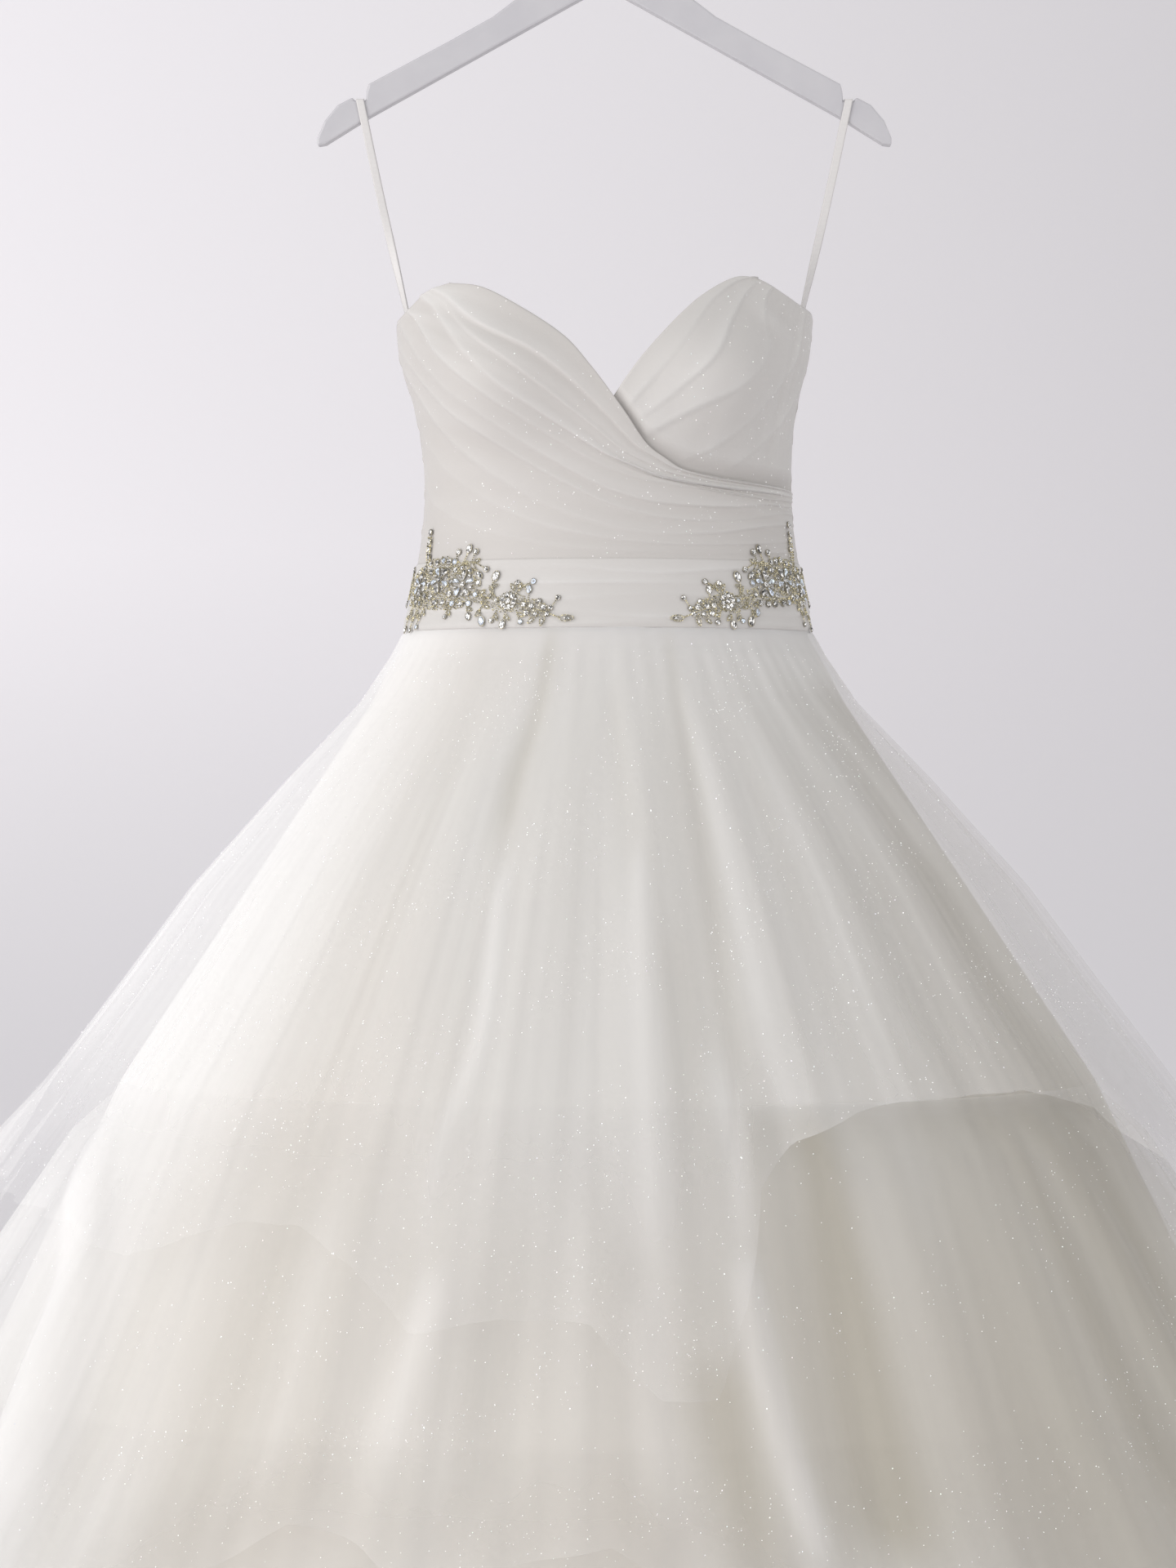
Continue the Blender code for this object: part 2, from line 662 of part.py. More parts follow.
def make_hanger(collection, cutters):
    """The flat wooden body: a filled outline, mirrored, with softened edges and a hole for the hook."""
    right = list(HANGER_HALF_OUTLINE)
    left = [(-x, z) for x, z in reversed(right[1:-1])]
    outline = right + left
    curve = bpy.data.curves.new("hanger_outline", "CURVE")
    curve.dimensions = "2D"
    curve.fill_mode = "BOTH"
    curve.extrude = HANGER_THICK / 2
    line = curve.splines.new("POLY")
    line.points.add(len(outline) - 1)
    for point, (x, z) in zip(line.points, outline):
        point.co = (x, z, 0.0, 1.0)
    line.use_cyclic_u = True
    flat = bpy.data.objects.new("hanger_outline", curve)
    flat.rotation_euler = (math.radians(90), 0, 0)
    collection.objects.link(flat)
    bpy.context.view_layer.update()
    mesh = bpy.data.meshes.new_from_object(flat.evaluated_get(bpy.context.evaluated_depsgraph_get()))
    mesh.transform(flat.matrix_world)
    bpy.data.objects.remove(flat)
    weld(mesh)
    hanger = put(bpy.data.objects.new("hanger", mesh), collection, "hanger_paint")
    soften = hanger.modifiers.new("soft_edges", "BEVEL")
    soften.width = 0.0015
    soften.segments = 2
    soften.limit_method = "ANGLE"
    soften.angle_limit = math.radians(60)
    hole = cylinder("hook_hole", HOOK_WIRE_RADIUS + HOOK_HOLE_CLEARANCE, 2 * HOOK_HOLE_DEPTH, 12, cutters)
    hole.location = (0, 0, HANGER_HALF_OUTLINE[0][1])
    cut = hanger.modifiers.new("hook_hole", "BOOLEAN")
    cut.operation = "DIFFERENCE"
    cut.object = hole
    return hanger


def weld(mesh):
    work = bmesh.new()
    work.from_mesh(mesh)
    bmesh.ops.remove_doubles(work, verts=work.verts, dist=1e-6)
    bmesh.ops.recalc_face_normals(work, faces=work.faces)
    work.to_mesh(mesh)
    work.free()


def cylinder(name, radius, length, sides, collection, material="steel"):
    """A round bar along Z about its own origin."""
    mesh = bpy.data.meshes.new(name)
    work = bmesh.new()
    bmesh.ops.create_cone(
        work, cap_ends=True, segments=sides, radius1=radius, radius2=radius, depth=length
    )
    work.to_mesh(mesh)
    work.free()
    return put(bpy.data.objects.new(name, mesh), collection, material)


def block(name, size, centre, collection, material="steel"):
    mesh = bpy.data.meshes.new(name)
    work = bmesh.new()
    bmesh.ops.create_cube(work, size=1.0)
    bmesh.ops.scale(work, vec=Vector(size), verts=work.verts)
    bmesh.ops.translate(work, vec=Vector(centre), verts=work.verts)
    work.to_mesh(mesh)
    work.free()
    return put(bpy.data.objects.new(name, mesh), collection, material)


def as_helper(obj):
    obj.hide_render = True
    obj.display_type = "WIRE"
    return obj


def make_hook(collection):
    """The wire hook: a straight stem in the hanger's head, a swan neck and an arc over the rod."""
    stem_bottom = HANGER_HALF_OUTLINE[0][1] - HOOK_HOLE_DEPTH + HOOK_HOLE_CLEARANCE
    neck_start = HOOK_CENTRE_Z - HOOK_LINE_RADIUS - 0.014
    start = math.radians(205.0)
    end = math.radians(-28.0)
    arc = [
        (HOOK_LINE_RADIUS * math.cos(a), HOOK_CENTRE_Z + HOOK_LINE_RADIUS * math.sin(a))
        for a in np.linspace(start, end, 15)
    ]
    bend_to = arc[0]
    heading = (-math.sin(start) * -1.0, math.cos(start) * -1.0)
    pull = 0.010
    swan = []
    for t in np.linspace(0, 1, 6)[1:-1]:
        a = (0.0, neck_start)
        b = (0.0, neck_start + pull)
        c = (bend_to[0] - heading[0] * pull, bend_to[1] - heading[1] * pull)
        swan.append(
            tuple(
                (1 - t) ** 3 * a[k] + 3 * (1 - t) ** 2 * t * b[k] + 3 * (1 - t) * t**2 * c[k] + t**3 * bend_to[k]
                for k in (0, 1)
            )
        )
    line = [(0.0, stem_bottom), (0.0, neck_start), *swan, *arc]
    curve = bpy.data.curves.new("hanger_hook", "CURVE")
    curve.dimensions = "3D"
    curve.bevel_depth = HOOK_WIRE_RADIUS
    curve.bevel_resolution = 2
    curve.use_fill_caps = True
    spline = curve.splines.new("POLY")
    spline.points.add(len(line) - 1)
    for point, (x, z) in zip(spline.points, line):
        point.co = (x, 0.0, z, 1.0)
    put(bpy.data.objects.new("hanger_hook", curve), collection, "steel")


def make_loops(collection):
    """The two ribbon loops: each runs from inside a side seam up over its notch in the hanger and down again,
    turning a quarter on the way."""
    inner = RIBBON_THICK / 2 + 3 * SEAM_GAP
    over = LOOP_REST_Z + inner
    half = HANGER_THICK / 2 + inner
    for name, side in (("hanger_loop_left", 1), ("hanger_loop_right", -1)):
        edge = SIDE + (LOOP_END_SPREAD + RIBBON_WIDTH / 2) / 0.083
        end = torso(np.array(edge), np.array(LOOP_END_Z), OUTER - CLOTH - SEAM_GAP - RIBBON_THICK / 2)
        share = np.linspace(0, 1, 9)[:, None]
        foot = np.array([[end[0] - 2 * SEAM_GAP, -LOOP_END_SPREAD, LOOP_END_Z]])
        entry = np.array([[LOOP_ENTRY[0], -LOOP_END_SPREAD, LOOP_ENTRY[1]]])
        top = np.array([[LOOP_REST_X, -half, over - inner * 2.5]])
        strand = np.concatenate([foot, entry * (1 - share) + top * share])
        turn = (math.pi / 2) * (1 - smoothstep(strand[:, 2], LOOP_ENTRY[1], -0.24))
        crown = np.array([[LOOP_REST_X, -half * 0.8, over], [LOOP_REST_X, half * 0.8, over]])
        line = np.concatenate([strand, crown, strand[::-1] * [1, -1, 1]])
        turn = np.concatenate([turn, [0.0, 0.0], -turn[::-1]])
        tangent = np.gradient(line, axis=0)
        tangent /= np.linalg.norm(tangent, axis=1)[:, None]
        width = np.stack([np.cos(turn), np.sin(turn), np.zeros_like(turn)], axis=1)
        width -= tangent * (width * tangent).sum(axis=1)[:, None]
        width /= np.linalg.norm(width, axis=1)[:, None]
        across = np.cross(tangent, width)
        corners = [
            line + a * width * RIBBON_WIDTH / 2 + b * across * RIBBON_THICK / 2
            for a, b in ((-1, -1), (1, -1), (1, 1), (-1, 1))
        ]
        band_mesh(name, np.stack(corners, axis=1) * [side, 1, 1], collection, "ribbon")


def band_mesh(name, sections, collection, material):
    """A closed bar through rings of four corners, with a face over each end."""
    count = len(sections)
    faces = [
        (i * 4 + k, i * 4 + (k + 1) % 4, (i + 1) * 4 + (k + 1) % 4, (i + 1) * 4 + k)
        for i in range(count - 1)
        for k in range(4)
    ]
    faces += [(3, 2, 1, 0), tuple(range((count - 1) * 4, count * 4))]
    mesh = bpy.data.meshes.new(name)
    mesh.from_pydata(sections.reshape(-1, 3).tolist(), [], faces)
    weld(mesh)
    return put(bpy.data.objects.new(name, mesh), collection, material)


# Zip


def back_face(z):
    """The centre back point of the bodice's outer face at this height."""
    return torso(np.array(BACK), np.array(z), OUTER)


def make_zip(collection, cutters):
    """A tape behind the two back edges, a slider at the top of the zip, and the pull tab that swings on it."""
    z = np.linspace(ZIP_TOP - 0.001, BAND_BOTTOM + WAIST_TUCK + 0.001, 8)[:, None]
    half_angle = ZIP_TAPE_WIDTH / 2 / 0.140
    angle = BACK + np.linspace(-half_angle, half_angle, 5)
    points = torso(angle[None], z, OUTER - CLOTH - 2 * SEAM_GAP)
    cloth_wall("zip_tape", points, ZIP_TAPE_THICK, collection, "ribbon")

    slider_z = ZIP_TOP - 0.012
    middle = float(back_face(slider_z)[0])
    seat = max(float(back_face(slider_z + reach)[1]) for reach in (-SLIDER_HEIGHT / 2, SLIDER_HEIGHT / 2)) + SEAM_GAP
    slider = block(
        "zip_slider",
        (SLIDER_WIDTH, SLIDER_DEPTH, SLIDER_HEIGHT),
        (middle, seat + SLIDER_DEPTH / 2, slider_z),
        collection,
    )
    pin_y = seat + SLIDER_DEPTH + EAR_DEPTH - 0.0006 - PIN_RADIUS
    for side in (-1, 1):
        ear = block(
            f"slider_ear_{side}",
            (EAR_WIDTH, EAR_DEPTH + 0.001, EAR_HEIGHT),
            (middle + side * (SLIDER_WIDTH - EAR_WIDTH) / 2, seat + SLIDER_DEPTH + EAR_DEPTH / 2 - 0.0005, slider_z),
            cutters,
        )
        unite(slider, as_helper(ear))
    pin = cylinder("slider_pin", PIN_RADIUS, SLIDER_WIDTH - EAR_WIDTH, 10, cutters)
    pin.rotation_euler = (0, math.radians(90), 0)
    pin.location = (middle, pin_y, slider_z)
    unite(slider, as_helper(pin))

    pull = cylinder("zip_pull", PULL_EYE_RADIUS, PULL_EYE_WIDTH, 14, collection)
    pull.data.transform(Matrix.Rotation(math.radians(90), 4, "Y"))
    pull.location = (middle, pin_y, slider_z)
    tab = block(
        "pull_tab",
        (PULL_WIDTH, PULL_THICK, PULL_LENGTH),
        (0, 0, -PULL_LENGTH / 2 - PULL_EYE_RADIUS - 0.0022),
        cutters,
    )
    tab.location = pull.location
    neck = block("pull_neck", (PULL_EYE_WIDTH, PULL_THICK, 0.006), (0, 0, -PULL_EYE_RADIUS - 0.0012), cutters)
    neck.location = pull.location
    unite(pull, as_helper(tab))
    unite(pull, as_helper(neck))
    eye = cylinder("pull_eye", PULL_EYE_HOLE, PULL_EYE_WIDTH * 2, 12, cutters)
    eye.rotation_euler = (0, math.radians(90), 0)
    eye.location = pull.location
    cut = pull.modifiers.new("eye", "BOOLEAN")
    cut.operation = "DIFFERENCE"
    cut.object = as_helper(eye)


def unite(obj, other):
    joined = obj.modifiers.new(other.name, "BOOLEAN")
    joined.operation = "UNION"
    joined.object = other


def main():
    clear_scene()
    gown = collection_named("wedding_dress")
    cutters = collection_named("cutters")
    make_drape(gown)
    make_cup(gown)
    make_backs(gown)
    make_waistband(gown)
    make_sprays(gown)
    make_lining(gown)
    make_underskirt(gown)
    make_flounce("flounce_lower", FLOUNCE_LOWER, LOWER_SEAM, LOWER_HEM, 3, 2.3, gown)
    make_flounce("flounce_middle", FLOUNCE_MIDDLE, MIDDLE_SEAM, MIDDLE_HEM, 4, 0.7, gown)
    make_overlay(gown)
    hanger = make_hanger(gown, cutters)
    as_helper(hanger.modifiers["hook_hole"].object)
    make_hook(gown)
    make_loops(gown)
    make_zip(gown, cutters)


main()
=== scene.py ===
"""The looks of a strapless ball gown on a painted wooden hanger: draped glitter tulle over a boned bodice,
beaded hip sprays, and sheer gathered tiers over a net underskirt and a satin lining.

Metres, +Z up, front facing -Y, the origin inside the top of the hook. An angle round the gown is 0 at the
centre front and grows towards +X. Every cloth surface is a function of two parameters on its CAD solid's
outer face.
"""

import math
from collections import namedtuple

import bmesh
import bpy
import numpy as np
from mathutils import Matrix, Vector


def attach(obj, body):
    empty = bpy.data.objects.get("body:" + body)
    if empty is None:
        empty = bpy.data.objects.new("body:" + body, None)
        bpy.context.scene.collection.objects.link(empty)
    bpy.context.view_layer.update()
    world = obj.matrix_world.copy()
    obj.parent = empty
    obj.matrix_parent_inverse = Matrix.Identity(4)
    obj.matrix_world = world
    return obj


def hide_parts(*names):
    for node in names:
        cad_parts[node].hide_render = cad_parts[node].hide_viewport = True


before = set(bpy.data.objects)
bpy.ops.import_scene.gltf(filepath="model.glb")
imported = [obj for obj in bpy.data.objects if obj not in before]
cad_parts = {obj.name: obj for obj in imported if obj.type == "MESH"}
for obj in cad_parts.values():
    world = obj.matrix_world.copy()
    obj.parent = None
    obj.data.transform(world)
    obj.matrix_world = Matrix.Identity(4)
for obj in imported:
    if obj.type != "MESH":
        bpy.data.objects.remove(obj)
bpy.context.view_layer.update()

# Sizes shared with the solids: the bodice's outer face lies OUTER out of its ovals, a skirt layer's on them

OUTER = 0.0050
BAND_TOP = -0.537
BAND_BOTTOM = -0.5865
SKIRT_TOP = -0.578
MIDDLE_SEAM = -0.925
LOWER_SEAM = -1.150
SIDE = math.radians(90.0)
BACK = math.radians(180.0)
SIDE_SEAM = 0.0005
LEAN = 0.0028
CUP_ANGLE = math.radians(34.0)
CUP_SPREAD = math.radians(21.0)
CUP_CENTRE_Z = -0.402
CUP_HEIGHT = 0.046
CUP_FULLNESS = 0.024
UNDERLAP = 0.012
TUCK = 0.0035
ZIP_TOP = -0.444

Ring = namedtuple("Ring", "z half_width front back fold")
TORSO = (
    Ring(-0.600, 0.1545, 0.111, 0.101, 0),
    Ring(-0.583, 0.1510, 0.107, 0.097, 0),
    Ring(-0.540, 0.1415, 0.099, 0.087, 0),
    Ring(-0.502, 0.1360, 0.094, 0.080, 0),
    Ring(-0.465, 0.1350, 0.096, 0.080, 0),
    Ring(-0.415, 0.1410, 0.103, 0.083, 0),
    Ring(-0.378, 0.1510, 0.104, 0.086, 0),
    Ring(-0.350, 0.1535, 0.098, 0.084, 0),
    Ring(-0.310, 0.1535, 0.088, 0.078, 0),
)
LINING = (
    Ring(-0.575, 0.1460, 0.1020, 0.0918, 0.000),
    Ring(-0.588, 0.1490, 0.1052, 0.0952, 0.000),
    Ring(-0.605, 0.1575, 0.1120, 0.1025, 0.000),
    Ring(-0.640, 0.1660, 0.1270, 0.1190, 0.002),
    Ring(-0.750, 0.2150, 0.1700, 0.1660, 0.004),
    Ring(-0.915, 0.2800, 0.2280, 0.2280, 0.010),
    Ring(-1.250, 0.4100, 0.3250, 0.3350, 0.016),
    Ring(-1.680, 0.5600, 0.4300, 0.4550, 0.024),
)
UNDERSKIRT = (
    Ring(-0.575, 0.1485, 0.1045, 0.0943, 0.000),
    Ring(-0.588, 0.1514, 0.1076, 0.0976, 0.000),
    Ring(-0.605, 0.1615, 0.1160, 0.1070, 0.000),
    Ring(-0.640, 0.1800, 0.1400, 0.1310, 0.000),
    Ring(-0.700, 0.2200, 0.1800, 0.1740, 0.000),
    Ring(MIDDLE_SEAM, 0.3700, 0.3050, 0.3060, 0.000),
    Ring(LOWER_SEAM, 0.4780, 0.3900, 0.4050, 0.000),
    Ring(-1.180, 0.4925, 0.4015, 0.4180, 0.000),
    Ring(-1.400, 0.5900, 0.4750, 0.5050, 0.026),
    Ring(-1.690, 0.6900, 0.5500, 0.5950, 0.040),
)
FLOUNCE_MIDDLE = (
    Ring(MIDDLE_SEAM, 0.3715, 0.3065, 0.3075, 0.000),
    Ring(-0.9365, 0.3765, 0.3115, 0.3125, 0.000),
    Ring(-0.965, 0.4080, 0.3360, 0.3390, 0.010),
    Ring(-1.040, 0.4600, 0.3780, 0.3860, 0.026),
    Ring(-1.150, 0.5260, 0.4300, 0.4450, 0.032),
    Ring(-1.280, 0.6200, 0.5080, 0.5320, 0.042),
    Ring(-1.400, 0.6900, 0.5650, 0.5980, 0.048),
)
FLOUNCE_LOWER = (
    Ring(LOWER_SEAM, 0.4795, 0.3915, 0.4065, 0.000),
    Ring(-1.161, 0.4850, 0.3960, 0.4110, 0.000),
    Ring(-1.220, 0.5250, 0.4280, 0.4460, 0.010),
    Ring(-1.380, 0.6100, 0.4940, 0.5240, 0.014),
    Ring(-1.550, 0.7150, 0.5760, 0.6140, 0.044),
    Ring(-1.720, 0.8000, 0.6400, 0.6900, 0.062),
)
TOP_TIER = (
    Ring(-0.575, 0.1510, 0.1070, 0.0968, 0.000),
    Ring(-0.5845, 0.1528, 0.1090, 0.0990, 0.000),
    Ring(-0.5880, 0.1572, 0.1134, 0.1034, 0.000),
    Ring(-0.605, 0.1660, 0.1205, 0.1115, 0.0014),
    Ring(-0.640, 0.1900, 0.1500, 0.1410, 0.006),
    Ring(-0.700, 0.2480, 0.2040, 0.1980, 0.020),
    Ring(-0.780, 0.3200, 0.2660, 0.2620, 0.030),
    Ring(-0.850, 0.3720, 0.3100, 0.3080, 0.034),
    Ring(-0.930, 0.4330, 0.3580, 0.3600, 0.030),
    Ring(-1.000, 0.4820, 0.3960, 0.4020, 0.032),
    Ring(-1.100, 0.5480, 0.4470, 0.4590, 0.036),
    Ring(-1.160, 0.5850, 0.4750, 0.4900, 0.038),
)

Edge = namedtuple("Edge", "angle z")


def edges(*pairs):
    return tuple(Edge(angle, z) for angle, z in pairs)


NECKLINE = edges(
    (-90, -0.3538), (-70, -0.3450), (-58, -0.3335), (-47, -0.3272), (-35, -0.3320), (-22.5, -0.3490),
    (-11, -0.3708), (-4, -0.3930), (2.2, -0.4154), (11, -0.3826), (20, -0.3550), (28, -0.3370),
    (38, -0.3240), (47, -0.3245), (59, -0.3344), (70, -0.3410), (90, -0.3460),
)  # fmt: skip
NOTCH, DRAPE_PEAK, CUP_PEAK = 8, 3, 13
CROSSING = edges(
    (2.2, -0.4154), (5.5, -0.4275), (11.6, -0.4498), (17.5, -0.4606), (24, -0.4690), (38, -0.4750),
    (60, -0.4780), (90, -0.4800),
)  # fmt: skip
TOP_TIER_HEM = edges(
    (-180, -1.095), (-150, -1.050), (-120, -1.090), (-90, -0.990), (-75, -0.988), (-49, -1.012),
    (-44, -1.031), (-39, -1.022), (-32, -1.002), (-26, -1.001), (-20.5, -1.024), (-15, -1.069),
    (-8, -1.056), (-1.4, -1.06), (3.3, -1.107), (7.5, -1.107), (10.5, -1.045), (12.5, -0.975), (16.4, -0.946),
    (23, -0.927), (28, -0.921), (43, -0.917), (53, -0.9325), (61, -1.000), (75, -1.060),
    (90, -1.085), (120, -1.100), (150, -1.040), (180, -1.095),
)  # fmt: skip
MIDDLE_HEM = edges(
    (-180, -1.365), (-135, -1.320), (-90, -1.270), (-60, -1.310), (-40, -1.300), (-22, -1.190),
    (-12, -1.225), (0, -1.200), (8, -1.250), (20, -1.340), (40, -1.375), (65, -1.330), (90, -1.300),
    (135, -1.370), (180, -1.365),
)  # fmt: skip
LOWER_HEM = edges((-180, -1.712), (-90, -1.695), (0, -1.690), (90, -1.697), (180, -1.712))
TOP_TIER_RIDGES = (
    (-174, 0.80), (-157, 0.60), (-143, 0.95), (-127, 0.65), (-112, 0.85), (-97, 0.55), (-80, 0.90),
    (-66, 0.60), (-51, 0.80), (-36, 0.70), (-22.5, 1.00), (-8, 0.55), (5, 1.00), (19, 0.75),
    (31, 0.55), (43, 0.85), (57, 0.60), (72, 0.95), (88, 0.60), (104, 0.80), (119, 1.00),
    (135, 0.60), (151, 0.85), (168, 0.65),
)  # fmt: skip
FLOUNCE_FOLDS, UNDERSKIRT_FOLDS, LINING_FOLDS = 28, 14, 12
FOLD_WANDER = 0.034
FOLD_DEPTH = 0.42


# Curves through the tables


def smooth(where, knots, values):
    """Cubic Hermite curve through rising knots, held level past both ends."""
    knots, values = np.asarray(knots, float), np.asarray(values, float)
    slopes = np.gradient(values, knots)
    where = np.clip(np.asarray(where, float), knots[0], knots[-1])
    i = np.clip(np.searchsorted(knots, where) - 1, 0, len(knots) - 2)
    step = knots[i + 1] - knots[i]
    t = (where - knots[i]) / step
    return (
        (1 + 2 * t) * (1 - t) ** 2 * values[i]
        + t * (1 - t) ** 2 * step * slopes[i]
        + t**2 * (3 - 2 * t) * values[i + 1]
        + t**2 * (t - 1) * step * slopes[i + 1]
    )


def at_height(table, z, column):
    """One column of a table of rings at the heights z."""
    rows = sorted(table, key=lambda row: row.z)
    return smooth(z, [row.z for row in rows], [getattr(row, column) for row in rows])


def straight(table, z, column):
    """The same with straight runs between the rows, as the solids' walls have."""
    rows = sorted(table, key=lambda row: row.z)
    return np.interp(z, [row.z for row in rows], [getattr(row, column) for row in rows])


def smoothstep(value, low, high):
    t = np.clip((value - low) / (high - low), 0.0, 1.0)
    return t * t * (3 - 2 * t)


def rounded(line, spans=8):
    """The same line with a smooth curve through its rows."""
    row, fine = np.arange(len(line)), np.linspace(0, len(line) - 1, (len(line) - 1) * spans + 1)
    angles, heights = (smooth(fine, row, column) for column in zip(*line))
    return tuple(map(Edge, angles, heights))


def round_the_gown(line, angle):
    """The height of an edge at these angles, any number of turns round."""
    degrees = (np.degrees(angle) + 180.0) % 360.0 - 180.0
    return np.interp(degrees, [e.angle for e in line], [e.z for e in line])


def along(line, share):
    """(angle, z) at shares of the length of a line given as rows of angle and z."""
    angle = np.radians([e.angle for e in line])
    z = np.array([e.z for e in line])
    reach = at_height(TORSO, z, "half_width")
    steps = np.hypot(np.diff(angle) * (reach[1:] + reach[:-1]) / 2, np.diff(z))
    length = np.concatenate([[0.0], np.cumsum(steps)])
    where = np.asarray(share) * length[-1]
    return np.stack([np.interp(where, length, angle), np.interp(where, length, z)], axis=-1)


def coons(top, bottom, left, right, s, q):
    """(angle, z) inside four edges: the blend of both pairs of sides less the blend of the corners. s runs
    from left to right and q from top to bottom, both arrays of one shape."""
    a, b = s[..., None], q[..., None]
    sides = (1 - a) * along(left, q) + a * along(right, q)
    ends = (1 - b) * along(top, s) + b * along(bottom, s)
    corners = (
        (1 - a) * (1 - b) * along(top, 0.0)
        + a * (1 - b) * along(top, 1.0)
        + (1 - a) * b * along(bottom, 0.0)
        + a * b * along(bottom, 1.0)
    )
    return sides + ends - corners


def oval(half_width, front, back, angle, z, out):
    """Points on an oval with unlike front and back depths, moved out along its normal."""
    half_width, front, back, angle, z, out = np.broadcast_arrays(half_width, front, back, angle, z, out)
    depth = np.where(np.cos(angle) > 0, front, back)
    normal = np.stack([np.sin(angle) / half_width, -np.cos(angle) / depth])
    normal = normal / np.hypot(normal[0], normal[1])
    x = half_width * np.sin(angle) + normal[0] * out + LEAN * smoothstep(-z, 0.38, 0.48)
    return np.stack([x, -depth * np.cos(angle) + normal[1] * out, z], axis=-1)


def torso(angle, z, out):
    """The bodice's inner form: the TORSO ovals with two bell-shaped cups, moved out."""
    angle, z, out = np.broadcast_arrays(angle, z, out)
    cups = sum(
        np.exp(-(((angle - side * CUP_ANGLE) / CUP_SPREAD) ** 2) - ((z - CUP_CENTRE_Z) / CUP_HEIGHT) ** 2)
        for side in (-1, 1)
    )
    sizes = [at_height(TORSO, z, column) for column in ("half_width", "front", "back")]
    return oval(*sizes, angle, z, out + CUP_FULLNESS * cups)


def waves(seed, low, high, count):
    """A function of angle and height: the sum of count cosines, each with a whole number of waves round the
    gown between low and high and a slant of its own, scaled to swing about between -1 and 1."""
    draw = np.random.default_rng(seed)
    number = draw.integers(low, high + 1, count)
    slant = draw.uniform(-9.0, 9.0, count)
    shift = draw.uniform(0, 2 * math.pi, count)

    def wave(angle, z):
        total = sum(np.cos(n * angle + k * z + p) for n, k, p in zip(number, slant, shift))
        return total / math.sqrt(count / 2) * 0.6

    return wave


# Meshes


def link(obj, material, body="gown", node=None):
    """Puts a finished piece in the scene, riding on its body, in place of the CAD node it belongs to."""
    obj.data.materials.append(material)
    bpy.context.scene.collection.objects.link(obj)
    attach(obj, body)
    if node:
        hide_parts(node)
    return obj


def mesh_of(name, points, faces, smooth_shading=True):
    """A mesh from an array of points and an array of faces with the same number of corners each."""
    mesh = bpy.data.meshes.new(name)
    corners = faces.shape[1]
    mesh.vertices.add(len(points))
    mesh.vertices.foreach_set("co", np.asarray(points, np.float32).ravel())
    mesh.loops.add(faces.size)
    mesh.loops.foreach_set("vertex_index", faces.astype(np.int32).ravel())
    mesh.polygons.add(len(faces))
    mesh.polygons.foreach_set("loop_start", np.arange(0, faces.size, corners, dtype=np.int32))
    mesh.update(calc_edges=True)
    mesh.validate()
    if smooth_shading:
        mesh.shade_smooth()
    else:
        mesh.shade_flat()
    return mesh


def sheet(name, points, closed=False, wall=0.0, values=None):
    """A cloth surface of quads through a grid of points, with rows running down and columns running round so
    that it faces out. Its UV map is the column's and the row's share. values are named numbers on its points.
    A wall grows inwards."""
    rows, columns = points.shape[:2]
    last = columns if closed else columns - 1
    i, j = np.meshgrid(np.arange(rows - 1), np.arange(last), indexing="ij")
    here, below, after = i * columns, (i + 1) * columns, (j + 1) % columns
    quads = np.stack([here + j, below + j, below + after, here + after], axis=-1)
    mesh = mesh_of(name, points.reshape(-1, 3), quads.reshape(-1, 4))
    u = np.stack([j, j, j + 1, j + 1], axis=-1) / last
    v = 1.0 - np.stack([i, i + 1, i + 1, i], axis=-1) / (rows - 1)
    uv = np.stack([u, v], axis=-1).astype(np.float32)
    mesh.uv_layers.new(name="UVMap").data.foreach_set("uv", uv.ravel())
    for key, value in (values or {}).items():
        spread = np.broadcast_to(value, (rows, columns)).astype(np.float32).ravel()
        mesh.attributes.new(key, "FLOAT", "POINT").data.foreach_set("value", spread)
    obj = bpy.data.objects.new(name, mesh)
    if wall:
        thick = obj.modifiers.new("wall", "SOLIDIFY")
        thick.thickness = wall
        thick.offset = -1.0
    return obj


def paint(mesh, tones):
    """Gives every face of a mesh a colour of its own, read by tone_finish."""
    colours = np.column_stack([tones, np.ones(len(tones))]).astype(np.float32)
    mesh.attributes.new("tone", "FLOAT_COLOR", "FACE").data.foreach_set("color", colours.ravel())


def unit(vectors):
    return vectors / np.maximum(np.linalg.norm(vectors, axis=-1, keepdims=True), 1e-12)


def face_frame(surface, a, b, step=1e-3):
    """Points of a surface of two parameters, with its unit directions along a, along b and out of it."""
    point = surface(a, b)
    along_a = unit(surface(a + step, b) - point)
    along_b = unit(surface(a, b + step) - point)
    return point, along_a, along_b, unit(np.cross(along_b, along_a))


# Materials


class Wire:
    """A number coming out of a node. Python's operators on it add Math nodes."""

    def __init__(self, finish, socket):
        self.finish, self.socket = finish, socket

    def math(self, operation, *values):
        return self.finish.node("ShaderNodeMath", {"operation": operation}, values)

    def __add__(self, other):
        return self.math("ADD", self, other)

    __radd__ = __add__

    def __mul__(self, other):
        return self.math("MULTIPLY", self, other)

    __rmul__ = __mul__

    def __sub__(self, other):
        return self.math("SUBTRACT", self, other)

    def __rsub__(self, other):
        return self.math("SUBTRACT", other, self)

    def __truediv__(self, other):
        return self.math("DIVIDE", self, other)

    def between(self, low, high):
        """0 below low, 1 above high, and an even rise between."""
        values = {"Value": self, "From Min": low, "From Max": high}
        return self.finish.node("ShaderNodeMapRange", {"clamp": True}, values)


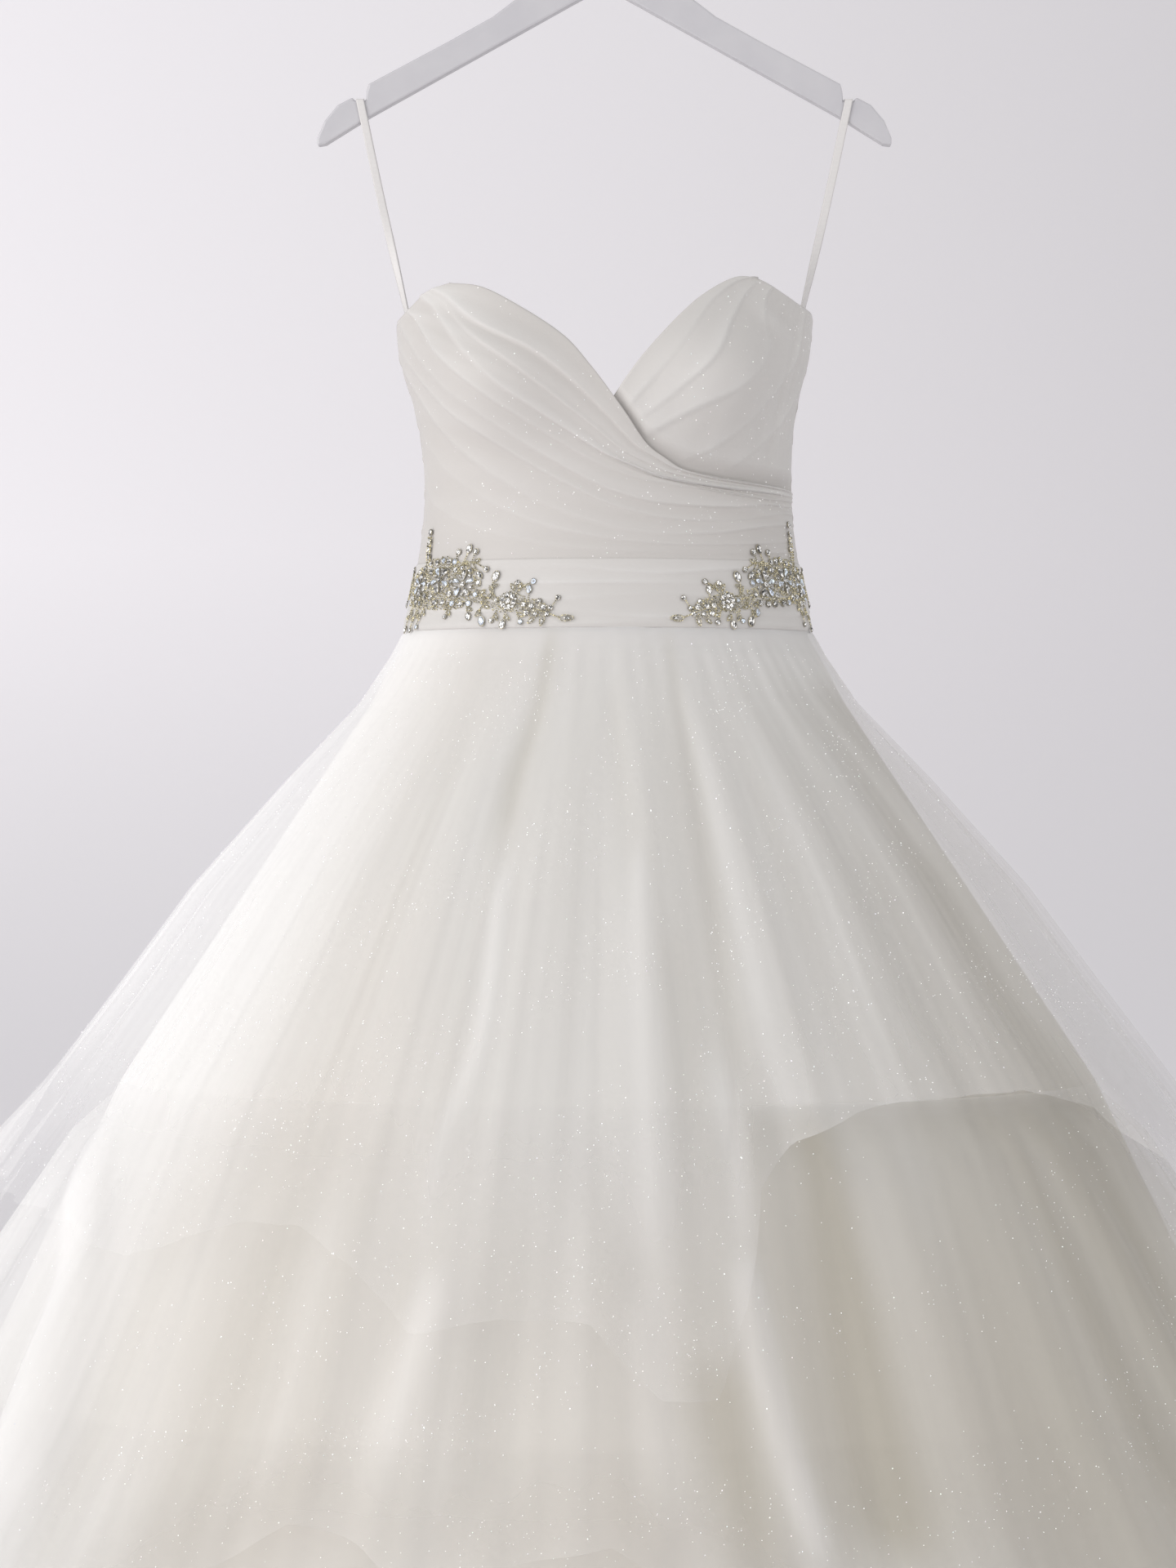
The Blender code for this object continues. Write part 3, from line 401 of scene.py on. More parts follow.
class Finish:
    """One material's nodes."""

    def __init__(self, name, **constants):
        self.material = bpy.data.materials.new(name)
        self.material.use_nodes = True
        self.tree = self.material.node_tree
        self.shader = self.tree.nodes["Principled BSDF"]
        self.set(**constants)

    def put(self, node, values):
        for key, value in values.items() if isinstance(values, dict) else enumerate(values):
            if isinstance(value, Wire):
                self.tree.links.new(value.socket, node.inputs[key])
            else:
                node.inputs[key].default_value = value

    def node(self, kind, settings=(), values=(), out=0):
        """Adds a node: its settings first, then the values or links of its sockets. Returns one output."""
        node = self.tree.nodes.new(kind)
        for key, value in dict(settings).items():
            setattr(node, key, value)
        self.put(node, values)
        return Wire(self, node.outputs[out])

    def place(self, stretch=(1.0, 1.0, 1.0)):
        """Object coordinates, stretched."""
        coordinates = self.node("ShaderNodeTexCoord", out="Object")
        return self.node("ShaderNodeMapping", {}, {"Vector": coordinates, "Scale": stretch})

    def coordinate(self, axis):
        """One object coordinate: axis 0 is x, 1 is y and 2 is z."""
        return self.node("ShaderNodeSeparateXYZ", {}, {"Vector": self.place()}, out=axis)

    def noise(self, scale, stretch=(1.0, 1.0, 1.0), detail=2.0, roughness=0.5):
        values = {"Vector": self.place(stretch), "Scale": scale, "Detail": detail, "Roughness": roughness}
        return self.node("ShaderNodeTexNoise", {}, values)

    def value(self, name, out="Fac"):
        return self.node("ShaderNodeAttribute", {"attribute_name": name}, out=out)

    def mix(self, factor, a, b):
        """Colour a where factor is 0 and b where it is 1."""
        node = self.tree.nodes.new("ShaderNodeMix")
        node.data_type = "RGBA"
        self.put(node, {"Factor": factor})
        colours = [socket for socket in node.inputs if socket.type == "RGBA"]
        for socket, colour in zip(colours, (a, b)):
            if isinstance(colour, Wire):
                self.tree.links.new(colour.socket, socket)
            else:
                socket.default_value = (*colour, 1.0)
        return Wire(self, next(socket for socket in node.outputs if socket.type == "RGBA"))

    def bump(self, height, strength, distance):
        values = {"Height": height, "Strength": strength, "Distance": distance}
        self.set(Normal=self.node("ShaderNodeBump", {}, values))

    def set(self, **values):
        """Sets or links the shader's sockets, named with underscores for spaces. Returns the material."""
        self.put(self.shader, {key.replace("_", " "): value for key, value in values.items()})
        return self.material


# The skirt's half width at a height z is about SKIRT_FOOT - SKIRT_SLOPE * z.
SKIRT_FOOT, SKIRT_SLOPE = -0.249, 0.72


def net(name, light, deep, warm, through):
    """Net whose cover is a number on its points. Its colour runs from light to deep with the fold number,
    which is painted shade in its valleys and creases, and to a warm tint in soft clouds. On the window's
    side, past half of the skirt's half width, it has painted light: it is whiter, and has a painted glow
    of up to the number through for the light that comes through it, less towards the hem."""
    f = Finish(name, Roughness=0.6, Specular_IOR_Level=0.25, Sheen_Weight=0.15, Sheen_Roughness=0.5)
    clouds = f.noise(2.6, (1.0, 1.0, 0.5), 1.0).between(0.40, 0.68)
    # painted shade: the fold number turns the colour towards deep
    colour = f.mix(f.value("fold"), f.mix(clouds, light, warm), deep)
    x, z = f.coordinate(0), f.coordinate(2)
    # Painted light: on the window's side the net is whiter and has a painted glow for the light that comes
    # through it.
    painted_window_light = 1 - (x / (SKIRT_FOOT - SKIRT_SLOPE * z)).between(-0.95, -0.50)
    painted_glow_mask = painted_window_light * (0.2 + 0.8 * z.between(-1.30, -0.95))
    f.set(Emission_Color=f.mix(painted_glow_mask, (0.0, 0.0, 0.0), (through,) * 3), Emission_Strength=1.0)
    return f.set(Base_Color=f.mix(painted_window_light, colour, (0.90, 0.893, 0.89)), Alpha=f.value("cover"))


def satin(name, light, deep):
    """Plain satin: faint streaks down it, and a weave too fine to see but for its sheen."""
    f = Finish(name, Roughness=0.42, Sheen_Weight=0.2, Specular_IOR_Level=0.4)
    streaks = f.noise(1.0, (14.0, 14.0, 1.6), 3.0).between(0.3, 0.7)
    f.bump(f.noise(1800.0, (1.0, 1.0, 0.25), 1.0), 0.12, 0.0003)
    return f.set(Base_Color=f.mix(streaks, light, deep))


def tulle_over_satin(name):
    """Layers of glitter tulle drawn over satin: soft cloudy tone, painted shade from the fold number in the
    hollows between pleats, fine crinkle, and a net too fine to see.
    """
    f = Finish(name, Roughness=0.55, Sheen_Weight=0.3, Sheen_Roughness=0.4, Specular_IOR_Level=0.35)
    clouds = f.noise(18.0, (1.0, 1.0, 1.0), 4.0).between(0.3, 0.7)
    light, cloudy, deep = (0.705, 0.69, 0.67), (0.66, 0.645, 0.625), (0.58, 0.555, 0.53)
    # painted shade: the fold number turns the colour towards deep
    colour = f.mix(f.value("fold"), f.mix(clouds, light, cloudy), deep)
    crinkle = f.noise(140.0, (1.0, 1.0, 1.6), 5.0, 0.6)
    values = {"Vector": f.place(), "Scale": 1100.0}
    weave = f.node("ShaderNodeTexVoronoi", {"feature": "DISTANCE_TO_EDGE"}, values)
    f.bump(crinkle + 0.3 * weave, 0.22, 0.0008)
    return f.set(Base_Color=colour)


def tone_finish(name, roughness, metallic, glow=0.0):
    """Cut stones, beads and flakes: every facet has a colour of its own, their own colour with painted
    reflections in it, and glow adds a painted glint.
    """
    f = Finish(name, Roughness=roughness, Metallic=metallic, Coat_Weight=0.5, Coat_Roughness=0.03)
    tone = f.value("tone", "Color")
    if glow:
        f.set(Emission_Color=tone, Emission_Strength=glow)
    return f.set(Base_Color=tone)


def painted_wood():
    """White paint on wood: faint long grain under it and a slightly uneven gloss."""
    f = Finish("painted_wood", Specular_IOR_Level=0.5, Coat_Weight=0.3, Coat_Roughness=0.2)
    grain = f.noise(1.0, (9.0, 60.0, 60.0), 4.0)
    mottle = f.noise(35.0, detail=3.0)
    f.bump(grain + 0.4 * mottle, 0.10, 0.0006)
    colour = f.mix(mottle.between(0.3, 0.7), (0.545, 0.535, 0.56), (0.58, 0.57, 0.59))
    return f.set(Base_Color=colour, Roughness=0.32 + 0.16 * grain)


def brushed_steel():
    """Plated steel with fine streaks along Z that dull it unevenly."""
    f = Finish("brushed_steel", Metallic=1.0)
    streaks = f.noise(1.0, (900.0, 900.0, 60.0), 3.0)
    f.bump(streaks, 0.08, 0.0001)
    colour = f.mix(streaks.between(0.3, 0.7), (0.60, 0.60, 0.62), (0.74, 0.74, 0.75))
    return f.set(Base_Color=colour, Roughness=0.22 + 0.15 * streaks)


def ribbed_ribbon(name, light, deep):
    """Narrow satin ribbon: fine ribs across it and a slightly darker woven edge."""
    f = Finish(name, Roughness=0.38, Sheen_Weight=0.3, Specular_IOR_Level=0.45)
    values = {"Vector": f.place(), "Scale": 420.0, "Distortion": 1.5}
    ribs = f.node("ShaderNodeTexWave", {"bands_direction": "Z"}, values)
    f.bump(ribs, 0.25, 0.0002)
    colour = f.mix(f.value("edge"), f.mix(ribs, light, deep), deep)
    return f.set(Base_Color=colour)


LINING_SATIN = satin("ivory_lining_satin", (0.74, 0.71, 0.65), (0.66, 0.63, 0.56))
# Each net: its light colour, its painted shade colour, its warm tint, and the strength of its painted glow.
UNDER_NET = net("underskirt_net", (0.75, 0.73, 0.69), (0.50, 0.47, 0.41), (0.76, 0.715, 0.65), 0.045)
TIER_NET = net("glitter_organza", (0.84, 0.83, 0.825), (0.68, 0.66, 0.62), (0.83, 0.80, 0.775), 0.165)
FLOUNCE_NET = net("flounce_organza", (0.82, 0.805, 0.785), (0.54, 0.505, 0.42), (0.80, 0.77, 0.725), 0.045)
DRAPED_TULLE = tulle_over_satin("draped_glitter_tulle")
PAINTED_WOOD = painted_wood()
STEEL = brushed_steel()
RIBBON = ribbed_ribbon("satin_ribbon", (0.78, 0.76, 0.745), (0.66, 0.64, 0.63))
# Stones and flakes glow: a painted glint.
STONES = tone_finish("cut_stones", 0.12, 0.40, 0.30)
GLITTER = tone_finish("glitter_flakes", 0.25, 0.2, 0.55)


# Skirt


def even_folds(phase, count, phase_shift):
    """(angle, valley) at a phase counted in folds: 0 valley on each ridge and up to 1 midway to the next."""
    turn = 2 * math.pi * phase / count
    angle = turn - BACK + FOLD_WANDER * np.sin(5 * turn + 1.1)
    depth = 0.78 + 0.22 * np.sin(3 * turn + phase_shift)
    return angle, depth * (0.5 - 0.5 * np.cos(2 * math.pi * phase))


def top_tier_folds(phase):
    """The same for the top tier, whose ridges lie at angles of their own, each with its own depth."""
    count = len(TOP_TIER_RIDGES)
    phase = phase % count
    angles, depths = np.array(TOP_TIER_RIDGES).T
    angle = np.interp(phase, np.arange(count + 1), np.radians([*angles, angles[0] + 360.0]))
    depth = depths[np.floor(phase).astype(int) % count]
    return angle, depth * (0.5 - 0.5 * np.cos(2 * math.pi * phase))


# A skirt layer: its rings, fold count and phase shift, top and hem, the depths of its gathers, ripples and
# hem flutter, the cover of its net laid flat, and a seed.
Tier = namedtuple("Tier", "table count shift top hem gather ripple flutter cover seed")
TIERS = {
    "lining_bell": Tier(LINING, LINING_FOLDS, 0.7, SKIRT_TOP, -1.680, 0.0005, 0.0010, 0.0, 1.0, 3),
    "net_bell": Tier(UNDERSKIRT, UNDERSKIRT_FOLDS, 1.9, SKIRT_TOP, -1.690, 0.0003, 0.0007, 0.0, 0.95, 4),
    "middle_tier": Tier(
        FLOUNCE_MIDDLE, FLOUNCE_FOLDS, 0.7, MIDDLE_SEAM, MIDDLE_HEM, 0.0024, 0.0015, 0.014, 0.42, 5
    ),
    "lower_tier": Tier(
        FLOUNCE_LOWER, FLOUNCE_FOLDS, 2.3, LOWER_SEAM, LOWER_HEM, 0.0030, 0.0020, 0.012, 0.42, 6
    ),
    "top_tier": Tier(
        TOP_TIER, len(TOP_TIER_RIDGES), None, SKIRT_TOP, TOP_TIER_HEM, 0.0006, 0.0011, 0.014, 0.30, 7
    ),
}

# Single creases, ridges and thin or dark patches of each layer: points of angle and height along one, its
# half width in degrees, how far it moves the cloth out, and how much it adds to the fold number, which is
# painted shade, and to the cover. A crease that adds to the fold number has painted shade in it, and one
# that takes from it has less.
Crease = namedtuple("Crease", "line width out fold cover")
CREASES = {
    "top_tier": (
        Crease(((-15.5, -0.600), (-15.5, -0.660), (-16.5, -0.700), (-16.0, -0.730)), 2.2, -0.005, 0.9, 0.2),
        Crease(((1.0, -0.640), (2.5, -0.700), (3.5, -0.760)), 2.5, -0.004, 0.4, 0.1),
        Crease(((16.0, -0.600), (15.0, -0.700), (13.5, -0.800), (13.0, -0.900)), 2.0, -0.004, 0.6, 0.15),
        Crease(((-14.0, -0.780), (-13.0, -0.870), (-15.0, -0.960), (-13.5, -1.060)), 1.2, 0.006, -0.5, 0.25),
        Crease(((4.2, -0.760), (4.0, -0.900), (4.0, -1.100)), 1.1, 0.003, -0.3, 0.2),
        Crease(((8.0, -0.820), (8.2, -0.960), (7.5, -1.070)), 2.6, -0.005, 0.5, 0.0),
        Crease(((10.6, -0.900), (11.2, -0.960), (11.6, -1.030)), 1.6, 0.004, -0.4, 0.2),
        # Broad patches: painted shade on the side away from the window, and less of it at both sides.
        Crease(((82.0, -0.640), (80.0, -0.900), (80.0, -1.080)), 19.0, 0.0, -0.3, -0.85),
        Crease(((-80.0, -0.640), (-74.0, -0.900), (-70.0, -1.080)), 24.0, 0.0, -0.4, -0.35),
        Crease(((58.0, -0.760), (54.0, -0.900), (50.0, -1.080)), 22.0, 0.0, 0.45, 0.0),
    ),
    "middle_tier": (
        Crease(((11.8, -1.040), (12.4, -1.100), (14.0, -1.200)), 1.3, 0.007, -0.6, 0.5),
        Crease(((17.0, -0.932), (17.5, -1.000), (18.5, -1.100), (19.0, -1.200)), 7.0, -0.009, 0.40, -0.1),
        Crease(((21.5, -0.935), (21.0, -1.000), (20.3, -1.100), (20.3, -1.200)), 2.6, -0.006, 0.50, 0.1),
        Crease(((50.0, -0.935), (46.0, -1.100), (42.0, -1.300)), 24.0, 0.0, 0.60, -0.1),
        Crease(((-70.0, -0.960), (-58.0, -1.047), (-55.0, -1.116), (-51.0, -1.190)), 2.4, 0.007, -0.6, 0.8),
        Crease(((86.0, -0.935), (84.0, -1.100), (82.0, -1.300)), 13.0, 0.0, -0.2, -0.6),
        Crease(((-14.6, -1.050), (-15.5, -1.080), (-16.8, -1.130), (-18.2, -1.190)), 2.0, 0.005, -0.6, 0.6),
        Crease(((2.6, -1.060), (3.0, -1.110), (3.6, -1.180), (4.6, -1.240)), 1.5, 0.004, -0.6, 0.5),
        Crease(((8.5, -1.100), (9.5, -1.180), (10.0, -1.240)), 2.4, -0.006, 0.7, 0.0),
    ),
    # A broad painted shade on the side away from the window.
    "net_bell": (Crease(((76.0, -0.640), (74.0, -1.000), (72.0, -1.500)), 30.0, 0.0, 0.95, 0.0),),
}


def creases_of(name, angle, z):
    """The sum of a layer's creases at these places: each is a bell across its line and dies away past its
    ends. Gives how far the cloth moves out, and what is added to the fold number, which is painted shade, and
    to the cover."""
    total = np.zeros((3, *np.broadcast(angle, z).shape))
    degrees = np.degrees(angle)
    for crease in CREASES.get(name, ()):
        angles, heights = np.array(crease.line)[::-1].T
        bell = np.exp(-(((degrees - smooth(z, heights, angles)) / crease.width) ** 2))
        bell = bell * smoothstep(z, heights[0] - 0.04, heights[0] + 0.02)
        bell = bell * (1 - smoothstep(z, heights[-1] - 0.01, heights[-1] + 0.03))
        total += np.array([crease.out, crease.fold, crease.cover])[:, None, None] * bell
    return total


def sizes_at(table, z):
    """An oval's half width and front and back depths at the heights z, as the solids' walls have them."""
    return [straight(table, z, column) for column in ("half_width", "front", "back")]


def clear_of_layer_below(angle, z, out):
    """The top tier's distance from its ovals, held back softly where it would meet the layer it lies on: the
    gap to that layer's ovals less some room is the least that it may be drawn in."""
    above_room, below_room, softness = 0.0025, 0.0090, 0.0012
    gap = np.zeros(np.shape(out))
    for below, lies_on, room in (
        (UNDERSKIRT, z > MIDDLE_SEAM, above_room),
        (FLOUNCE_MIDDLE, z <= MIDDLE_SEAM, below_room),
    ):
        wide, front, back = (a - b for a, b in zip(sizes_at(TOP_TIER, z), sizes_at(below, z)))
        depth = np.where(np.cos(angle) > 0, front, back)
        between = wide * np.sin(angle) ** 2 + depth * np.cos(angle) ** 2
        gap = np.where(lies_on, between - room, gap)
    return softness * np.logaddexp(0.0, (out + gap) / softness) - gap


def cover_of(tier, degrees, z, share, below, streak, crease_cover):
    """The cover of a layer's net laid flat: its own, thinner towards a loose hem and under a seam that
    another layer covers, streaked, and denser at the waist and in the hem's turned edge. In the swag over
    the left hip, where the top tier is lifted, both stay denser."""
    at_waist = tier.top > MIDDLE_SEAM
    loose = not isinstance(tier.hem, float)
    swag = smoothstep(degrees, 12.0, 18.0) * (1 - smoothstep(degrees, 58.0, 72.0))
    covered = 0.0 if at_waist else 1.0 if tier.hem is LOWER_HEM else 1 - swag
    seam = 1 - 0.65 * covered * (1 - smoothstep(tier.top - z, 0.0, 0.09))
    airy = 1 - 0.7 * smoothstep(share, 0.70, 0.97) * (1 - 0.6 * swag * at_waist) * loose
    streak = streak * smoothstep(below, 0.0, 0.25)
    hem_edge = smoothstep(share, 0.988, 0.994)
    cover = tier.cover * airy * seam * (1 + 0.09 * streak + 0.8 * crease_cover + 0.10 * hem_edge)
    return np.clip(cover + 0.3 * at_waist * np.exp(-below / 0.03), 0.05, 0.97)


def on_tier(name, phase, share):
    """Points on a skirt layer at a phase round it and a share of the way down. The layer's oval at that
    height is drawn in by its fold depth times the valley value, then moved out by small gathers that start
    at the seam and die away below it, long slanting ripples, single creases, and a flutter close to the
    hem. Also gives the fold number, which is painted shade in its valleys, gathers, ripples and creases,
    and the cover of the net before its slope is counted."""
    tier = TIERS[name]
    phase, share = np.broadcast_arrays(phase, share)
    angle, valley = top_tier_folds(phase) if tier.shift is None else even_folds(phase, tier.count, tier.shift)
    hem = tier.hem if isinstance(tier.hem, float) else round_the_gown(tier.hem, angle)
    z = tier.top + (hem - tier.top) * share
    below = np.maximum(min(tier.top, BAND_BOTTOM - 0.0015) - z, 0.0)
    gather = waves(tier.seed, 16, 84, 9)(angle, z)
    ripple = waves(tier.seed + 40, 14, 60, 12)(angle, z)
    streak = waves(tier.seed + 20, 24, 180, 16)(angle, 0.4 * z)
    flutter = waves(tier.seed + 80, 30, 70, 6)(angle, 0 * z)
    crease_out, crease_painted_shade, crease_cover = creases_of(name, angle, z)
    lively = smoothstep(below, 0.0, 0.03)
    out = tier.gather * lively * np.exp(-below / 0.10) * (0.6 + gather)
    out = out + tier.ripple * lively * smoothstep(below, 0.0, 0.20) * ripple
    out = out + tier.flutter * smoothstep(share, 0.80, 1.0) * (0.5 + 0.5 * flutter)
    out = out + smoothstep(below, 0.0, 0.12) * crease_out
    out = out - FOLD_DEPTH * valley * straight(tier.table, z, "fold")
    if tier.table is TOP_TIER:
        out = clear_of_layer_below(angle, z, out)
    points = oval(*sizes_at(tier.table, z), angle, z, out)
    # painted shade: the fold number grows in the fold valleys, the gathers, the ripples and the creases
    fold = 0.18 * valley * smoothstep(below, 0.02, 0.12) + 0.03 * gather * np.exp(-below / 0.15)
    fold = np.clip(fold + 0.07 * ripple + crease_painted_shade, 0, 1)
    return points, fold, cover_of(tier, np.degrees(angle), z, share, below, streak, crease_cover)


def make_tier(name, node, finish, columns_per_fold, rows):
    """One layer as a single surface. Net laid at a slant to the layer's own outward direction covers more."""
    tier = TIERS[name]
    phase = np.arange(tier.count * columns_per_fold) / columns_per_fold
    points, fold, cover = on_tier(name, phase[None], np.linspace(0, 1, rows)[:, None])
    round_it = unit(np.roll(points, -1, axis=1) - np.roll(points, 1, axis=1))
    down = unit(np.gradient(points, axis=0))
    outward = unit(points[..., :2])
    facing = np.abs((unit(np.cross(down, round_it))[..., :2] * outward).sum(axis=-1))
    cover = 1 - (1 - cover) ** (1 / np.clip(facing, 0.4, 1.0))
    solid = tier.cover == 1.0
    obj = sheet(name, points, True, 0.0, {"fold": fold, "cover": np.ones_like(fold) if solid else cover})
    link(obj, finish, node=node)
    return obj


make_tier("lining_bell", "skirt_lining", LINING_SATIN, 24, 60)
make_tier("net_bell", "underskirt", UNDER_NET, 24, 90)
make_tier("lower_tier", "flounce_lower", FLOUNCE_NET, 20, 90)
make_tier("middle_tier", "flounce_middle", FLOUNCE_NET, 20, 80)
make_tier("top_tier", "skirt_overlay", TIER_NET, 24, 110)


# Bodice


def seam_gap(radius):
    """The angle that the gap of a seam takes up, this far from the gown's axis."""
    return SIDE_SEAM / radius


SIDE_DEGREES = math.degrees(SIDE - seam_gap(0.098))
DRAPE_EDGES = (
    rounded((*NECKLINE[DRAPE_PEAK:NOTCH], *CROSSING[:-1], Edge(SIDE_DEGREES, CROSSING[-1].z))),
    (Edge(-SIDE_DEGREES, BAND_TOP), Edge(SIDE_DEGREES, BAND_TOP)),
    (
        *rounded((*NECKLINE[DRAPE_PEAK:0:-1], Edge(-SIDE_DEGREES, NECKLINE[0].z))),
        Edge(-SIDE_DEGREES, BAND_TOP),
    ),
    (Edge(SIDE_DEGREES, CROSSING[-1].z), Edge(SIDE_DEGREES, BAND_TOP)),
)
UNDERLAP_DEGREES = math.degrees(UNDERLAP * 0.55 / 0.14)
CUP_LOWER = [
    Edge(e.angle - UNDERLAP_DEGREES * (1 - i / 6), e.z - UNDERLAP) for i, e in enumerate(CROSSING[:-1])
] + [Edge(SIDE_DEGREES, CROSSING[-1].z - UNDERLAP)]
CUP_TOP = rounded((*NECKLINE[NOTCH:-1], Edge(SIDE_DEGREES, NECKLINE[-1].z)))
PEAK_ROW = 8 * (CUP_PEAK - NOTCH)
CUP_EDGES = (
    (CUP_LOWER[0], *CUP_TOP[: PEAK_ROW + 1]),
    (CUP_LOWER[-1], CUP_TOP[-1]),
    rounded(CUP_LOWER),
    CUP_TOP[PEAK_ROW:],
)

# Pleats: points of s and q along the pleat's lower edge, its height there, and how wide it is above the edge
# in q.
Pleat = namedtuple("Pleat", "line height width")
DRAPE_PLEATS = (
    Pleat(((0, 0.06), (0.15, 0.13), (0.33, 0.11), (0.5, 0.08), (0.62, 0.045), (1, 0.02)), 0.0022, 0.06),
    Pleat(((0, 0.11), (0.2, 0.242), (0.355, 0.34), (0.46, 0.345), (0.6, 0.27), (0.77, 0.16), (1, 0.07)),
          0.003, 0.09),
    Pleat(((0, 0.085), (0.2, 0.185), (0.4, 0.215), (0.6, 0.15), (0.8, 0.09), (1, 0.045)), 0.0012, 0.05),
    Pleat(((0, 0.2), (0.2, 0.35), (0.4, 0.44), (0.6, 0.42), (0.77, 0.33), (0.9, 0.19), (1, 0.12)),
          0.0018, 0.07),
    Pleat(((0, 0.32), (0.25, 0.48), (0.45, 0.56), (0.64, 0.557), (0.78, 0.46), (0.9, 0.29), (1, 0.2)),
          0.0016, 0.08),
    Pleat(((0, 0.4), (0.25, 0.56), (0.45, 0.64), (0.66, 0.667), (0.77, 0.59), (0.9, 0.42), (1, 0.3)),
          0.0012, 0.05),
    Pleat(((0, 0.44), (0.18, 0.62), (0.39, 0.75), (0.59, 0.797), (0.71, 0.74), (0.84, 0.6), (1, 0.44)),
          0.0013, 0.09),
    Pleat(((0, 0.62), (0.25, 0.78), (0.5, 0.87), (0.75, 0.83), (1, 0.65)), 0.0009, 0.06),
    Pleat(((0, 0.78), (0.3, 0.9), (0.6, 0.94), (1, 0.82)), 0.0006, 0.05),
)  # fmt: skip
CUP_PLEATS = (
    Pleat(((0, 0.04), (0.28, 0.075), (0.48, 0.07), (0.7, 0.04), (1, 0.02)), 0.0012, 0.05),
    Pleat(((0, 0.07), (0.27, 0.158), (0.48, 0.19), (0.7, 0.15), (1, 0.06)), 0.0018, 0.07),
    Pleat(((0, 0.11), (0.29, 0.253), (0.44, 0.34), (0.66, 0.37), (0.82, 0.25), (1, 0.14)), 0.0017, 0.09),
    Pleat(((0, 0.22), (0.2, 0.39), (0.41, 0.5), (0.68, 0.64), (1, 0.6)), 0.0016, 0.09),
    Pleat(((0, 0.38), (0.25, 0.583), (0.51, 0.8), (0.8, 0.9), (1, 0.93)), 0.0012, 0.09),
)  # fmt: skip


def pleated(pleats, s, q, wander):
    """The cloth's height over its base: every pleat swells towards its lower edge and drops over it. A slow
    sine makes the heights uneven along their length, and fine waves crinkle it all."""
    height = np.zeros(np.broadcast(s, q).shape)
    for number, pleat in enumerate(pleats):
        edge = smooth(s, [a for a, b in pleat.line], [b for a, b in pleat.line])
        t = (q - edge) / pleat.width
        rise = np.where(t < 0, np.exp(1.6 * np.minimum(t, 0)), 1 - smoothstep(t, 0.0, 0.28))
        uneven = 0.72 + 0.28 * np.sin(7.0 * s + 2.3 * number + wander)
        height = height + pleat.height * rise * uneven
    fine = waves(90 + int(wander * 10), 5, 16, 7)(5.0 * q + 0.8 * s, 0.35 * s)
    return height + 0.00022 * fine


def drape_at(s, q):
    """The draped front: pleats run from the wearer's right side and top edge to the left side seam."""
    grid = coons(*DRAPE_EDGES, s, q)
    angle, z = grid[..., 0], grid[..., 1]
    ends = 1 - 0.6 * smoothstep(np.abs(angle), math.radians(70), math.radians(88))
    edge = smoothstep(q, -0.01, 0.012) * (1 - smoothstep(q, 0.975, 1.0))
    height = pleated(DRAPE_PLEATS, s, q, 0.4) * ends * edge
    # painted shade: the fold number is highest where the cloth lies low between pleats
    return torso(angle, z, OUTER + height), 1 - np.clip(height / 0.0030, 0, 1)


def cup_at(s, q):
    """The left cup: pleats fan from its lower edge to its peak, and its lower edge goes under the drape."""
    grid = coons(*CUP_EDGES, s, q)
    angle, z = grid[..., 0], grid[..., 1]
    tucked = 1 - smoothstep(z - round_the_gown(CROSSING, angle), 0.003, 0.016)
    crumple = 0.0007 * np.sin(38 * s + 9 * q) * np.exp(-(((s - 0.78) / 0.10) ** 2) - ((q - 0.36) / 0.14) ** 2)
    edges_flat = smoothstep(q, -0.01, 0.02) * (1 - smoothstep(q, 0.96, 1.0)) * (1 - smoothstep(s, 0.97, 1.0))
    height = (pleated(CUP_PLEATS, s, q, 1.7) + crumple) * (1 - tucked) * edges_flat
    depth = TUCK * (1 - 0.75 * smoothstep(angle, math.radians(78), math.radians(88)))
    # painted shade: the fold number is higher where the cloth lies low between pleats, with a painted shadow
    # where it goes under the drape
    fold = np.clip(0.55 - 0.55 * height / 0.0026 + 0.5 * tucked, 0, 1)
    return torso(angle, z, OUTER - depth * tucked + height), fold


def make_cloth(name, surface, node, columns, rows, flat, held):
    """A bodice or band piece: its surface of s and q on a grid, with a wall behind it."""
    s, q = np.meshgrid(np.linspace(0, 1, columns), np.linspace(0, 1, rows))
    points, fold = surface(s, q)
    obj = sheet(name, points, False, 0.0018, {"fold": fold})
    link(obj, DRAPED_TULLE, node=node)
    return obj


def back_of(side):
    """A back panel between its side seam and the zip, its top edge scooped, with shallow ruching across."""
    start, end = SIDE + seam_gap(0.083), BACK - seam_gap(0.136)
    if side < 0:
        start, end = -end, -start
    rows = (0.14, 0.27, 0.41, 0.55, 0.70, 0.85)
    ruching = [Pleat(((0.0, k - 0.05), (0.5, k + 0.03), (1.0, k)), 0.0010, 0.07) for k in rows]

    def at(s, q):
        angle = start + (end - start) * s
        share = (np.abs(angle) - SIDE) / (BACK - SIDE)
        top = NECKLINE[-1].z if side > 0 else NECKLINE[0].z
        top = top + (ZIP_TOP - top) * smoothstep(share, 0.0, 1.0) ** 0.8
        z = top * (1 - q) + (BAND_TOP + 0.0003) * q
        flat = smoothstep(q, 0.0, 0.03) * (1 - smoothstep(q, 0.96, 1.0)) * (1 - smoothstep(share, 0.93, 0.99))
        height = pleated(ruching, s, q, 2.0 + side) * flat
        # painted shade: the fold number is highest where the cloth lies low between the ruches
        return torso(angle, z, OUTER + height), 1 - np.clip(height / 0.0018, 0, 1)

    return at


